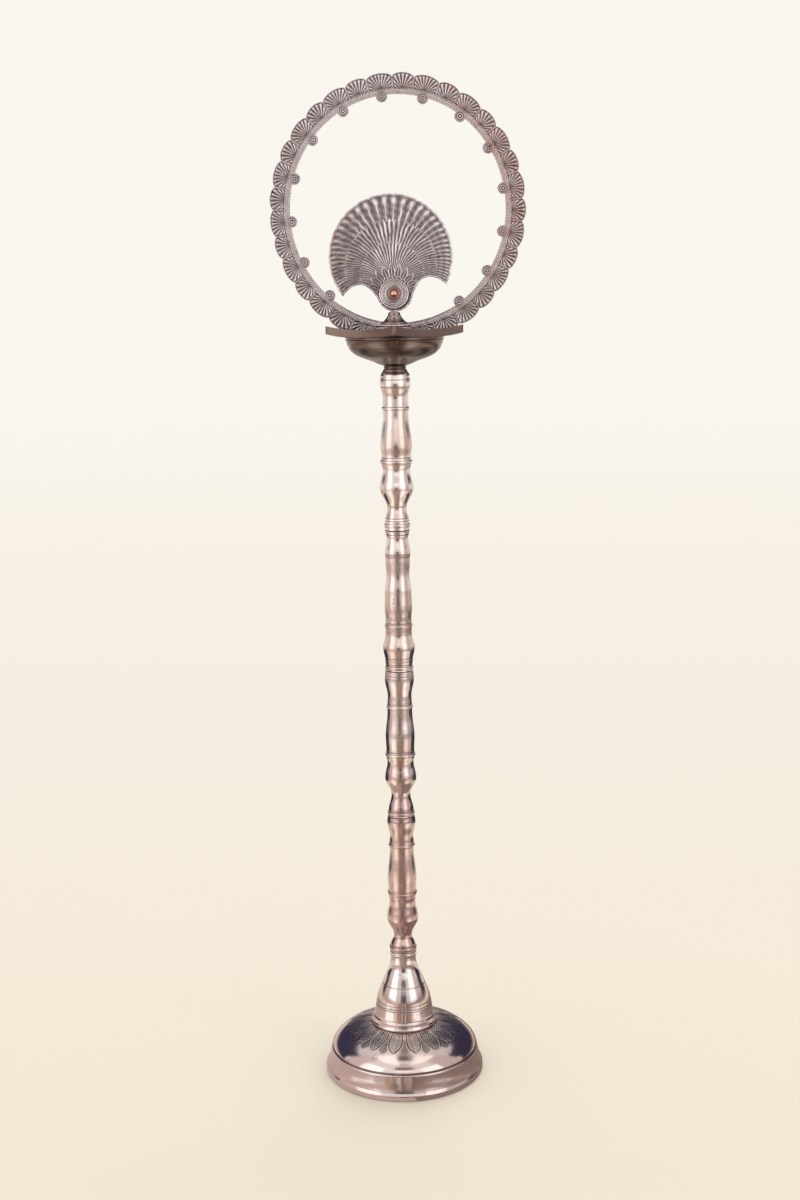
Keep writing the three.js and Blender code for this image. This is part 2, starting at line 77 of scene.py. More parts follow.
def new_mesh(name, points, faces):
    mesh = bpy.data.meshes.new(name)
    mesh.from_pydata(np.asarray(points).tolist(), [], faces)
    return mesh


def stacked(x, y, z):
    """Points from their coordinates, of which some may be one number for all."""
    return np.stack(np.broadcast_arrays(x, y, z), -1)


def loft(rows, closed=False):
    """Joins rows of points into a skin. A row is a loop of points, or one point where the skin closes."""
    rows = [np.asarray(row, float).reshape(-1, 3) for row in rows]
    starts = np.cumsum([0] + [len(row) for row in rows])
    loops = [start + np.arange(len(row)) for start, row in zip(starts, rows)]
    faces = []
    for a, b in zip(loops, loops[1:] + (loops[:1] if closed else [])):
        if len(a) == 1:
            corners = [np.repeat(a, len(b)), np.roll(b, -1), b]
        elif len(b) == 1:
            corners = [a, np.roll(a, -1), np.repeat(b, len(a))]
        else:
            corners = [a, np.roll(a, -1), np.roll(b, -1), b]
        faces += np.stack(corners, 1).tolist()
    return np.concatenate(rows), faces


def turns(steps):
    return np.arange(steps) * TAU / steps


def spin(profile, steps, closed=False):
    """A turned body from (radius, height) points, bottom to top along the outside.

    A radius or height is a number, or one value for each turn from -Y.
    """
    turn = turns(steps)
    return loft([
        stacked(r * np.sin(turn), -r * np.cos(turn), z) if np.any(r) else [(0, 0, z)] for r, z in profile
    ], closed)


def polar(part):
    """The radius and height of each point of a skin."""
    x, y, height = part[0].T
    return np.hypot(x, y), height


def merged(*parts):
    """Several (points, faces) skins as one."""
    points, faces, count = [], [], 0
    for part_points, part_faces in parts:
        points.append(part_points)
        faces += [[corner + count for corner in face] for face in part_faces]
        count += len(part_points)
    return np.concatenate(points), faces


def joined(coarse, fine, first_coarse, first_fine):
    """Faces between a coarse loop below and a finer one above it, given their sizes and first points."""
    ratio = fine // coarse
    faces = []
    for i in range(coarse):
        for j in range(i * ratio - ratio // 2, i * ratio + ratio // 2):
            faces.append([first_coarse + i, first_fine + (j + 1) % fine, first_fine + j % fine])
        middle = first_fine + (i * ratio + ratio // 2) % fine
        faces.append([first_coarse + i, first_coarse + (i + 1) % coarse, middle])
    return faces


def moved(part, x=0, y=0, z=0):
    points, faces = part
    return points + np.array([x, y, z]), faces


def laid(part):
    """Turns a body made about +Z so that its axis runs along +Y."""
    points, faces = part
    x, y, z = points.T
    return stacked(x, z, -y), faces


def build(name, part, finish, body, node, at=None, sharp=40, tone=None):
    """Makes the piece for a solid, at its foot or at a given height, and sets it on its body.

    tone is the dark share of the finish at each point: painted shade in recesses, grooves and creases.
    """
    points, faces = moved(part, z=foot_of(node) if at is None else at)
    look, slot = finish
    mesh = new_mesh(name, points * MM, faces)
    if tone is not None:
        layer = mesh.attributes.new("tone", "FLOAT", "POINT")
        layer.data.foreach_set("value", np.clip(tone, 0, 1).astype(np.float32))
    mesh.validate()
    skin = bmesh.new()
    skin.from_mesh(mesh)
    bmesh.ops.remove_doubles(skin, verts=skin.verts, dist=WELD * MM)
    bmesh.ops.holes_fill(skin, edges=[edge for edge in skin.edges if edge.is_boundary], sides=8)
    skin.to_mesh(mesh)
    skin.free()
    mesh.shade_smooth()
    mesh.set_sharp_from_angle(angle=math.radians(sharp))
    mesh.materials.append(look)
    piece = placed(name, mesh)
    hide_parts(node)
    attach(piece, body)


def shared(part, other):
    """What two closed skins share."""
    first, second = ends = [placed("cut", new_mesh("cut", *skin)) for skin in (part, other)]
    tuned(first.modifiers.new("cut", "BOOLEAN"), operation="INTERSECT", solver="MANIFOLD", object=second)
    bpy.context.view_layer.update()
    made = first.evaluated_get(bpy.context.evaluated_depsgraph_get()).to_mesh()
    points = np.zeros(len(made.vertices) * 3)
    made.vertices.foreach_get("co", points)
    faces = [list(face.vertices) for face in made.polygons]
    for end in ends:
        mesh = end.data
        bpy.data.objects.remove(end)
        bpy.data.meshes.remove(mesh)
    return points.reshape(-1, 3), faces


def prism(outline, front, back):
    """A closed slab between two depths, from (x, z) points that run clockwise seen from the front."""
    x, z = np.transpose(outline)
    count = len(x)
    points, faces = loft([stacked(x, front, z), stacked(x, back, z)])
    return points, faces + [list(range(count))[::-1], list(range(count, 2 * count))]


def bump(value, centre, half):
    """1 at the centre, falling smoothly to 0 a half width away."""
    return np.clip(1 - ((value - centre) / half) ** 2, 0, 1)


def swing(angle):
    """A wave between 0 and 1, at 1 where the angle is 0."""
    return 0.5 + 0.5 * np.cos(angle)


def step(value, low, high):
    """0 below low and 1 above high, with a smooth change between them."""
    share = np.clip((value - low) / (high - low), 0, 1)
    return share * share * (3 - 2 * share)


def flowing(points, gap=0.6, corners=()):
    """A smooth line through (radius, height) points, sharp at the numbered corners."""
    points = np.asarray(points, float)
    line = [points[0]]
    for i in range(len(points) - 1):
        a, b = points[i], points[i + 1]
        before = points[i - 1] if i > 0 and i not in corners else 2 * a - b
        after = points[i + 2] if i + 2 < len(points) and i + 1 not in corners else 2 * b - a
        reach = np.linalg.norm(b - a)
        count = max(1, int(math.ceil(reach / gap)))
        back = (b - before) / max(1e-6, np.linalg.norm(a - before) + reach) * reach
        ahead = (after - a) / max(1e-6, np.linalg.norm(after - b) + reach) * reach
        for k in range(1, count + 1):
            t = k / count
            line.append(
                (2 * t**3 - 3 * t**2 + 1) * a
                + (t**3 - 2 * t**2 + t) * back
                + (3 * t**2 - 2 * t**3) * b
                + (t**3 - t**2) * ahead
            )
    return np.array(line)


def grooved(line, grooves):
    """Cuts fine turned grooves, (height, depth, width), into a line whose height only climbs."""
    line = np.asarray(line, float)
    for height, depth, width in grooves:
        marks = height + width * np.array([-0.5, -0.2, 0.2, 0.5])
        radii = np.interp(marks, line[:, 1], line[:, 0]) - np.array([0, depth, depth, 0])
        outside = (line[:, 1] < marks[0]) | (line[:, 1] > marks[3])
        line = np.concatenate([line[outside], np.stack([radii, marks], 1)])
        line = line[np.argsort(line[:, 1], kind="stable")]
    return line


# Finishes. Scales of noise are per metre

SPECKS = 160
GRAIN = 900
TURNING_MARKS = (3, 3, 2600)
RELIEF = 0.0004


def feed(socket, value):
    """Sets an input to a value, or links the output of another node to it."""
    if isinstance(value, bpy.types.NodeSocket):
        socket.id_data.links.new(value, socket)
    else:
        socket.default_value = (*value, 1) if socket.type == "RGBA" else value


def add(tree, kind, inputs=(), output=0, **settings):
    """Makes a shader node with its inputs and settings, and gives one of its outputs."""
    made = tuned(tree.nodes.new("ShaderNode" + kind), **settings)
    for name, value in dict(inputs).items():
        feed(made.inputs[name], value)
    return made.outputs[output]


def new_look(name):
    """A material, with its tree and the inputs of its shader."""
    look = bpy.data.materials.new(name)
    look.use_nodes = True
    return look, look.node_tree, look.node_tree.nodes["Principled BSDF"].inputs


def show(tree, shader):
    feed(tree.nodes["Material Output"].inputs["Surface"], shader)


def brass(name, light, warm, dark, rough, slot="", cloud=14, marks=0, pits=0, tint=None, grain=0):
    """A metal with clouded colour, painted shade darkening the recesses where the tone is high, dark specks,
    roughness and bump, and its slot.
    """
    look, tree, shader = new_look(name)
    place = add(tree, "TexCoord", output="Object")

    def noise(scale, detail, stretch=(1, 1, 1)):
        spread = add(tree, "Mapping", {"Vector": place, "Scale": stretch})
        return add(tree, "TexNoise", {"Vector": spread, "Scale": scale, "Detail": detail})

    def ramp(source, low, high, to_low=0, to_high=1):
        ends = {"Value": source, "From Min": low, "From Max": high, "To Min": to_low, "To Max": to_high}
        return add(tree, "MapRange", ends)

    def mix(share, first, second):
        return add(tree, "Mix", {"Factor": share, 6: first, 7: second}, 2, data_type="RGBA")

    def plus(first, second):
        return add(tree, "Math", {0: first, 1: second}, operation="ADD")

    def times(first, second):
        return add(tree, "Math", {0: first, 1: second}, operation="MULTIPLY")

    tone = add(tree, "Attribute", output="Fac", attribute_name="tone")
    colour = mix(ramp(noise(cloud, 5), 0.36, 0.66), light, warm)
    if tint is not None:
        tint_colour, direction, shift = tint
        lean = add(tree, "VectorMath", {0: place, 1: direction}, "Value", operation="DOT_PRODUCT")
        spots = plus(ramp(noise(cloud * 4, 3), 0.3, 0.7, -0.5, 0.5), lean)
        colour = mix(ramp(spots, shift, shift + 0.7), colour, tint_colour)
    specks = ramp(noise(SPECKS, 2), 0.64, 0.74, 0, 0.5)
    # The tone is painted shade in recesses and grooves; the specks are dark tarnish.
    painted_shade_and_specks = plus(tone, times(specks, pits))
    wear = ramp(noise(cloud * 3, 6), 0.3, 0.7, rough * 0.7, rough * 1.35)
    feed(shader["Metallic"], 1)
    feed(shader["Base Color"], mix(painted_shade_and_specks, colour, dark))
    feed(shader["Roughness"], plus(wear, times(painted_shade_and_specks, 0.3)))
    if marks:
        height = times(noise(1, 2, TURNING_MARKS), marks)
    elif grain:
        height = times(noise(GRAIN, 3), grain)
    if marks or grain:
        feed(shader["Normal"], add(tree, "Bump", {"Height": height, "Distance": RELIEF}))
    return look, slot or name


polished = brass(
    "polished_brass", (0.76, 0.665, 0.635), (0.64, 0.52, 0.47), (0.055, 0.045, 0.05), 0.14,
    marks=0.05, pits=0.5,
)
# Painted reflection: towards the bottom the stem's colour turns a darker rose brown, standing in for the
# brown it reflects from below.
stem_brass = brass(
    "stem_brass", (0.8, 0.715, 0.67), (0.62, 0.485, 0.42), (0.14, 0.1, 0.09), 0.17,
    "polished_brass", cloud=20, marks=0.16, pits=0.7, tint=((0.6, 0.445, 0.4), (0, 0, -4.5), -1.6),
)
# A darker copy of the polished brass, used on the pedestal.
darker_polished_brass = brass(
    "darker_polished_brass", (0.38, 0.31, 0.3), (0.28, 0.22, 0.2), (0.04, 0.03, 0.03), 0.18,
    "polished_brass", marks=0.05, pits=0.6,
)
dark_brass = brass(
    "dark_brass", (0.2, 0.145, 0.125), (0.14, 0.098, 0.08), (0.02, 0.015, 0.014), 0.16,
    marks=0.05, pits=0.6,
)
# The ring's colour turns pinker towards its right and top.
cast_brass = brass(
    "cast_brass", (0.95, 0.87, 0.865), (0.8, 0.7, 0.68), (0.08, 0.06, 0.065), 0.3,
    cloud=30, grain=0.12, pits=0.5, tint=((0.86, 0.61, 0.55), (9, 0, 3), 3),
)
# A lighter copy of the cast brass for the fan, turning darker towards its left and bottom.
fan_brass = brass(
    "fan_brass", (1, 0.94, 0.94), (0.86, 0.77, 0.76), (0.13, 0.105, 0.11), 0.3,
    "cast_brass", cloud=26, grain=0.12, pits=0.5, tint=((0.58, 0.43, 0.4), (-9, 0, -1), -0.7),
)
screw_brass = brass(
    "screw_brass", (0.62, 0.46, 0.24), (0.5, 0.35, 0.19), (0.1, 0.06, 0.04), 0.28, pits=0.8, grain=0.2,
)
rivet_brass = brass(
    "rivet_brass", (0.82, 0.62, 0.5), (0.66, 0.46, 0.36), (0.12, 0.05, 0.03), 0.2,
    "screw_brass", cloud=90, pits=0.4,
)
copper = brass(
    "copper", (0.5, 0.235, 0.185), (0.36, 0.155, 0.12), (0.08, 0.03, 0.025), 0.3,
    cloud=120, grain=0.3, pits=0.8,
)
steel = brass(
    "plated_steel", (0.6, 0.6, 0.59), (0.5, 0.51, 0.5), (0.12, 0.12, 0.12), 0.3,
    cloud=40, grain=0.3, pits=0.6,
)


# Foot. Profiles are (radius, height)


BAND = [(74.2, 0), (74.6, 0.5), (74.55, 4.8), (74.25, 5.2), (73.95, 5.75), (73.2, 6.8)]
BAND_FLARE = [(73.2, 6.8), (71.9, 10.4), (70.8, 14.2), (70, 18), (69.45, 21.2)]
DOME_EDGE = 68.5
DOME_EDGE_HEIGHT = 24.8
DOME_RISE = 24.2
DOME_FULLNESS = 0.979
DOME_ARC = 70.2  # spreads the dome's loops
DOME_WALL = 3.4
FOOT_BOTTOM = (71.2, 0)
FOOT_STEPS = 256
PAD_THICKNESS = 7
PAD_RADIUS = 14
LOTUS_PETALS = 16
LOTUS_STEPS = 1024
LOTUS_IN = 30.6
LOTUS_OUT = 57
LOTUS_ROOT = 24.6
LOTUS_GROUND = -0.2


def dome_height(radius, wall=0):
    edge = math.sqrt(1 - DOME_FULLNESS**2)
    rise = DOME_RISE / (1 - edge)
    across = np.asarray(radius) / (DOME_EDGE / DOME_FULLNESS - wall)
    return DOME_EDGE_HEIGHT - rise * edge + (rise - wall) * np.sqrt(np.maximum(0, 1 - across**2))


def petal_edge(turn, radius, tip, half, fullness, blunt):
    """How far inside a petal's edge a point lies, for petals set about turn = 0."""
    share = np.clip((radius - LOTUS_ROOT) / (tip - LOTUS_ROOT), 0, 1)
    left = 1 - share**fullness
    side = half * np.maximum(1e-4, left) ** blunt
    slope = half * blunt * np.maximum(1e-3, left) ** (blunt - 1) * fullness
    slope = slope * share ** (fullness - 1) / (tip - LOTUS_ROOT)
    inside = (side - np.abs(turn)) * radius / np.sqrt(1 + (slope * radius) ** 2)
    return np.where(radius > tip, tip - radius, inside)


def lotus(turn, radius):
    """Depth and tone of the engraved lotus round the bell, a front row of petals over a rear one. The tone is
    painted shade, dark in the sunken fields and the gap, plain on the raised lines and veins.
    """
    pitch = TAU / LOTUS_PETALS
    half = pitch / 2
    near = turn % pitch - half
    between = (turn + half) % pitch - half
    front = petal_edge(near, radius, LOTUS_OUT - 1, half, 4.2, 0.7)
    rear = petal_edge(between, radius, LOTUS_OUT, half * 0.8, 5, 0.7)

    def engraved(off, vein_pitch):
        return swing(TAU * (radius + 0.9 * np.abs(off) * radius) / vein_pitch)

    rear_line = bump(rear, 0.6, 0.8)
    veins = np.maximum(engraved(near, 2.6), bump(np.abs(near) * radius, 0, 0.5))
    front_line = np.maximum(bump(front, 0.6, 0.85), 0.6 * bump(front, 2.7, 0.5))
    depth = tone = np.zeros_like(radius)
    for inside, veins, line, ridge, dark, light in (
        (rear, engraved(between, 2.2), rear_line, 0.18, 1, 0.85), (front, veins, front_line, 0.2, 0.8, 0.8),
    ):
        raised = np.maximum(LOTUS_GROUND + 0.1 * veins, LOTUS_GROUND + ridge * line)
        depth = np.where(inside > 0, raised, depth)
        tone = np.where(inside > 0, dark - light * veins * (1 - line) - line, tone)
    gap = (front > 1.4) & (front < 2.1)
    depth = np.where(gap, -0.22, depth)
    tone = np.where(gap, 1, tone)
    fade = step(radius, LOTUS_IN, LOTUS_IN + 1)
    return depth * fade, np.clip(tone, 0, 1) * fade


def lotus_zone():
    turn = turns(LOTUS_STEPS)
    rows, tones = [], []
    for radius in np.arange(LOTUS_IN, LOTUS_OUT + 0.31, 0.3)[::-1]:
        depth, tone = lotus(turn, np.full(LOTUS_STEPS, radius))
        slope = (dome_height(radius + 0.05) - dome_height(radius - 0.05)) / 0.1
        lean = math.atan(-slope)
        rows.append((radius + depth * math.sin(lean), dome_height(radius) + depth * math.cos(lean)))
        tones.append(tone)
    return spin(rows, LOTUS_STEPS), np.concatenate(tones)


def make_foot():
    edge = [(69.45, 21.2), (69.2, 22.2), (68.6, 22.7), (67.9, 22.8), (67.9, 24.2), (DOME_EDGE, 24.8)]
    start, end = math.asin((LOTUS_OUT + 1.2) / DOME_ARC), math.asin(DOME_EDGE / DOME_ARC)
    outer = [DOME_ARC * math.sin(a) for a in np.linspace(start, end, 60)[::-1]]
    dome = [(r, dome_height(r)) for r in outer]
    band = flowing(BAND_FLARE, 0.5)
    skirt = spin([FOOT_BOTTOM, *BAND[:-1], *band[:-1], *edge[:-1], *dome], FOOT_STEPS)
    zone, zone_tone = lotus_zone()
    crown = [(r, dome_height(r)) for r in np.linspace(LOTUS_IN - 0.5, STUD_BORE, 12)]
    under = [(r, dome_height(r, DOME_WALL)) for r in np.linspace(65.1, PAD_RADIUS, 40)][::-1]
    pad = float(dome_height(0)) - PAD_THICKNESS
    inner = spin([*crown, (STUD_BORE, pad), (PAD_RADIUS, pad), *under, FOOT_BOTTOM], FOOT_STEPS)
    part = merged(skirt, zone, inner)
    zone_start, zone_end = len(skirt[0]), len(skirt[0]) + len(zone[0])
    above = joined(FOOT_STEPS, LOTUS_STEPS, zone_end, zone_end - LOTUS_STEPS)
    part[1].extend(joined(FOOT_STEPS, LOTUS_STEPS, zone_start - FOOT_STEPS, zone_start))
    part[1].extend([face[::-1] for face in above])
    tone = np.concatenate([np.zeros(len(skirt[0])), zone_tone, np.zeros(len(inner[0]))])
    radius, height = polar(part)
    # Painted shade: a faint dark line where the band steps in to its flare, and a darker one in the hollow
    # under the dome's edge.
    painted_crease_shade = 0.2 * bump(height, 5.9, 0.4) * (radius > 72) + 0.8 * bump(height, 23.4, 1.1) * (radius > 67.5)
    build("foot", part, polished, "base", "base_foot", tone=np.maximum(tone, painted_crease_shade))


BELL_LIP = [
    (29.4, 0), (30.4, 0.15), (30.9, 0.6), (31, 1.2), (30.8, 1.9), (30.2, 2.7), (29.6, 4.4), (29, 6.4),
]
BELL = [
    (29, 6.4), (28.05, 7.6), (27, 13), (26.35, 17.4), (25.65, 21), (24.6, 26), (22.6, 32),
    (19.3, 40), (16.4, 47.3), (13.8, 53), (12.25, 58.5), (11.8, 62), (11.7, 65.2),
]
BELL_COLLAR = [
    (11.7, 65.2), (11.8, 65.8), (12.3, 66.4), (12.6, 67.4), (12.6, 68.4), (12.4, 69.2), (12.4, 69.9),
    (12.1, 70.2),
]
BELL_GROOVES = [(17.6, 0.22, 0.7), (19.4, 0.18, 0.6), (22.4, 0.22, 0.7), (38.6, 0.12, 0.5)]
BELL_TOP = 70.2
BELL_STEPS = 160
BELL_BOTTOM = 28.4
BELL_WALL = 2.6
CAVITY_TOP = 38.2
ROD_TOP = 52.2  # the tie rod's hole goes on above the cavity


def make_bell():
    line = np.concatenate([flowing(BELL_LIP, 0.3), flowing(BELL, 0.5)[1:], flowing(BELL_COLLAR, 0.25)[1:]])
    line = grooved(line, BELL_GROOVES)
    bottom = BELL_TOP - STUD_DEPTH
    outside = [(BELL_BOTTOM, 0), *line, (STUD_BORE, BELL_TOP), (STUD_BORE, bottom), (0, bottom)]
    inside = [(r - BELL_WALL, z) for r, z in flowing(BELL, 2) if z < CAVITY_TOP]
    cavity = [
        (0, ROD_TOP), (STUD_BORE, ROD_TOP), (STUD_BORE, CAVITY_TOP), (inside[-1][0] - 2, CAVITY_TOP),
        *inside[::-1], (BELL_BOTTOM, 2), (BELL_BOTTOM, 0),
    ]
    part = merged(spin(outside, BELL_STEPS), spin(cavity, BELL_STEPS))
    radius, height = polar(part)
    # Painted shade in the turned grooves.
    tone = sum(bump(height, groove[0], 0.5) for groove in BELL_GROOVES) * 0.7 * (radius > 11)
    build("bell", part, polished, "base", "base_bell", tone=tone)


# Stem. A section is (height, radius) at swells and necks, (height, radius, width) at half-round rings

SECTIONS = [
    [
        (0, 12.3), (3, 12.9, 3.2), (15.5, 8.4), (32.8, 14.7), (48.6, 12.2), (57.3, 13.8, 3), (61.2, 13),
        (72, 13.5), (98.7, 11.3), (104.4, 12.3, 3), (112.6, 10.9), (127, 13.2), (132.6, 12.5),
    ],
    [
        (0, 12.3), (2.8, 12.6, 3), (20.4, 8.7), (36.3, 14.4), (51.7, 12.1), (59.2, 14, 3), (63.6, 12.9),
        (75.4, 13.4), (99, 11.4), (104.6, 12.2, 3), (114.5, 10.9), (130, 13.3), (138.6, 12.8),
    ],
    [
        (0, 12.7), (2.8, 13.1, 2.8), (9, 12.6), (20.6, 14.4), (34.2, 11.9), (41.6, 12.8, 2.8), (47.6, 11.8),
        (57.2, 12.4), (73, 12), (89, 10.5), (102.6, 11.2), (108.6, 11.6), (122, 9.8), (128.8, 11.2),
    ],
    [
        (0, 11.4), (4.6, 12.1, 3.2), (20.3, 8.8), (38.7, 15.2), (54.8, 12.4), (61.9, 14.7, 3.2), (66.4, 13.4),
        (76, 14.4), (103.4, 11.5), (109.2, 12.4, 3), (118, 11.4), (131.4, 13.7), (138, 13.1), (143.6, 10.5),
    ],
]
RING_STEP = 0.9
FINE_LINES = [
    [5.6, 60.5, 128.6], [5.2, 62.6, 131.4, 134.2], [6, 11.8, 44.4, 105.4, 107.2, 125.4],
    [8.6, 11, 65.6, 128, 134.6],
]


def turned_line(stations):
    line = []
    for height, radius, *width in stations:
        half = width[0] / 2 if width else 0
        root = radius - RING_STEP if width else radius
        if line:
            from_radius, from_height = line[-1]
            span = height - half - from_height
            count = max(2, int(span / 0.6))
            for k in range(1, count):
                share = k / count
                eased = 1 - swing(math.pi * share)
                line.append((from_radius + (root - from_radius) * eased, from_height + span * share))
        line.append((root, height - half))
        if width:
            for k in range(1, 12):
                turn = math.pi * k / 12
                line.append((root + RING_STEP * math.sin(turn) ** 0.8, height - half * math.cos(turn)))
            line.append((root, height + half))
    (low_radius, low), (high_radius, high) = line[0], line[-1]
    return [
        (low_radius - 0.5, low), (low_radius - 0.1, low + 0.2),
        *[spot for spot in line if low + 0.4 < spot[1] < high - 0.4],
        (high_radius - 0.1, high - 0.2), (high_radius - 0.5, high),
    ]


def make_section(number, stations, fine):
    length = stations[-1][0]
    line = grooved(turned_line(stations), [(z, 0.2, 0.6) for z in fine])
    part = spin([
        (0, STUD_DEPTH), (STUD_BORE, STUD_DEPTH), (STUD_BORE, 0), *line, (STUD_BORE, length),
        (STUD_BORE, length - STUD_DEPTH), (0, length - STUD_DEPTH),
    ], 96)
    radius, height = polar(part)
    # Painted shade darkens the fine grooves and the creases at the rings' edges; both ends, where the
    # sections meet, are darker too.
    tone = sum(bump(height, z, 0.45) for z in fine) * 0.65
    for middle, _, *width in stations:
        for end in (-1, 1) if width else ():
            tone = tone + 0.22 * bump(height, middle + end * width[0] / 2, 0.5)
    tone = (tone + 0.8 * (bump(height, 0, 0.5) + bump(height, length, 0.5))) * (radius > 7)
    node = f"stem_section_{number}"
    build(f"turned_section_{number}", part, stem_brass, f"section_{number}", node, tone=tone)


THREAD_PITCH = 1.5
THREAD_END = 0.8
# Piece, body, radius, depth of the thread, finish
SCREWS = [(f"stem_stud_{number}", f"stud_{number}", 5, 0.5, screw_brass) for number in range(1, 5)]
SCREWS += [
    ("bowl_stud", "bowl_screw", 5, 0.5, screw_brass), ("centre_stud", "top_screw", 3, 0.4, screw_brass),
    ("base_tie_rod", "base", 5, 0.5, steel),
]


def threaded(radius, length, depth):
    """A screw with a right-hand thread and a small chamfer at each end."""
    turn = turns(40)
    rows = [(0, 0)]
    for level in np.linspace(0, length, int(length / THREAD_PITCH * 8) + 1):
        wave = np.abs(((level / THREAD_PITCH - turn / TAU) % 1) - 0.5) * 2
        end = min(level, length - level)
        out = radius - depth * wave
        out = np.minimum(out, radius - THREAD_END + end) if end < THREAD_END else out
        rows.append((out, level))
    return spin([*rows, (0, length)], len(turn))


def make_screws():
    for node, body, radius, depth, finish in SCREWS:
        low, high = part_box(node)
        part = threaded(radius, (high.z - low.z) / MM, depth)
        build(node + "_thread", part, finish, body, node, sharp=50)


def flat_ring(inner, outer, thickness, steps=64, edge=0.25):
    return spin([
        (inner + edge, 0), (outer - edge, 0), (outer, edge), (outer, thickness - edge),
        (outer - edge, thickness), (inner + edge, thickness), (inner, thickness - edge), (inner, edge),
    ], steps, closed=True)


def hex_nut(across, bore, height):
    turn = turns(96)
    flat = across * math.cos(math.pi / 6) / np.cos(turn % (math.pi / 3) - math.pi / 6)
    corner = np.minimum(flat, 0.93 * across)
    return spin([
        (bore + 0.5, 0), (corner, 0), (flat, 0.9), (flat, height - 0.9), (corner, height),
        (bore + 0.5, height), (bore, height - 0.5), (bore, 0.5),
    ], len(turn), closed=True)


def make_tie():
    build("tie_washer", flat_ring(STUD_BORE, 12, 2), steel, "base", "base_tie_washer")
    build("tie_nut", hex_nut(9.2, STUD_BORE, 8), steel, "base", "base_tie_nut")


# Bowl


BOWL_BODY = [(14.6, 4.4), (19.8, 6.7), (28.6, 9.8), (34.8, 12.6), (39.2, 16.4), (42, 21), (43.4, 25.4)]
RIM_FOOT = 28.1
# The rim's section, as steps out from its outlines and heights above its foot
RIM_OUTSIDE = [(-0.4, 0), (-0.1, 0.12), (0, 0.45), (0, 2.4), (0, 4.4), (0, 6.35), (-0.1, 6.68), (-0.4, 6.8)]
RIM_INSIDE = [(0.4, 6.8), (0.1, 6.68), (0, 6.35), (0, 2.4), (-0.5, 1.8)]
RIM_SIDE = 49.6
SPOUTS = 5
SPOUT_REACH = 63.8
SPOUT_RISE = 3.6
BOSS_RADIUS = 10
BOSS_HEIGHT = 22
BASIN_WALL = 2.3
BOWL_STUD_TOP = 10.5
BOWL_LINE = 26


def rim_outline(reach, side, tip_half, turn):
    """The radius of the five-pointed rim at each turn from -Y."""
    spread = TAU / SPOUTS
    shoulder = reach - tip_half
    bend = 2 * side - shoulder * math.cos(spread / 2) - tip_half * math.sin(spread / 2)

    def spot(across, out, at):
        cos, sin = math.cos(at * spread), math.sin(at * spread)
        return np.array([across * cos + out * sin, out * cos - across * sin])

    def arc(a, b, c, count):
        t = np.linspace(0, 1, count)[:-1, None]
        return (1 - t) ** 2 * a + 2 * t * (1 - t) * b + t**2 * c

    line = []
    for i in range(SPOUTS):
        start, end = spot(-tip_half, shoulder, i), spot(tip_half, shoulder, i)
        line.append(arc(start, spot(0, reach, i), end, 13))
        line.append(arc(end, spot(0, bend, i + 0.5), spot(-tip_half, shoulder, i + 1), 60))
    line = np.concatenate(line)
    angle = np.unwrap(np.arctan2(line[:, 0], line[:, 1]))
    order = np.argsort(angle)
    angle, radius = angle[order], np.hypot(line[:, 0], line[:, 1])[order]
    return np.interp(turn, np.concatenate([angle - TAU, angle, angle + TAU]), np.tile(radius, 3))


def bowl_part():
    turn = turns(720)
    outer = rim_outline(SPOUT_REACH, RIM_SIDE, 1.6, turn)
    inner = rim_outline(SPOUT_REACH - 2.8, RIM_SIDE - 1.8, 0.8, turn)
    outside = grooved(
        np.concatenate([
            flowing([(9.3, 0), (9.8, 0.3), (9.9, 1), (9.7, 1.6), (9.8, 2.3), (10.4, 2.9)], 0.25),
            flowing([(10.4, 2.9), *BOWL_BODY, (43.55, 27.3)], 0.7)[1:],
        ]),
        [(BOWL_LINE, 0.25, 0.7)],
    )
    outside = [(STUD_BORE, BOWL_STUD_TOP), (STUD_BORE, 0), *outside, (43.9, 27.95), (44.6, RIM_FOOT)]
    rim = [(outer + x, RIM_FOOT + z) for x, z in RIM_OUTSIDE]
    rim += [(inner + x, RIM_FOOT + z) for x, z in RIM_INSIDE]
    rim = [(r, z + SPOUT_RISE * np.maximum(0, r - RIM_SIDE) / (SPOUT_REACH - RIM_SIDE)) for r, z in rim]
    basin = [
        (r - BASIN_WALL, z + BASIN_WALL * (1 - z / BOWL_BODY[-1][1]))
        for r, z in flowing(BOWL_BODY, 1)[::-1] if r > BOWL_BODY[0][0]
    ]
    floor = basin[-1][1]
    inside = [
        (np.minimum(inner - 0.6, 44), RIM_FOOT + 1.8), (41.6, RIM_FOOT + 1.7), (41.1, RIM_FOOT + 1.2),
        *basin, (BOSS_RADIUS + 0.6, floor), (BOSS_RADIUS, floor + 0.6), (BOSS_RADIUS, BOSS_HEIGHT - 0.4),
        (BOSS_RADIUS - 0.4, BOSS_HEIGHT), (CENTRE_BORE, BOSS_HEIGHT),
        (CENTRE_BORE, BOSS_HEIGHT - CENTRE_DEPTH),
    ]
    return spin([(0, BOWL_STUD_TOP), *outside, *rim, *inside, (0, inside[-1][1])], len(turn))


def make_bowl():
    part = bowl_part()
    radius, height = polar(part)
    # Painted shade: dark lines in the groove round the body and in the crease under the rim.
    line = bump(height, BOWL_LINE, 0.7) * (radius > 40) + bump(height, RIM_FOOT, 0.5) * (radius < 46)
    # Below the rim foot the bowl turns darker, inside the basin and on the lower body.
    darker_below = step(height, 30, 22) * (radius < 41.2) * 0.35
    build("bowl", part, dark_brass, "bowl", "oil_bowl", sharp=32, tone=0.7 * line + darker_below)


# Ring


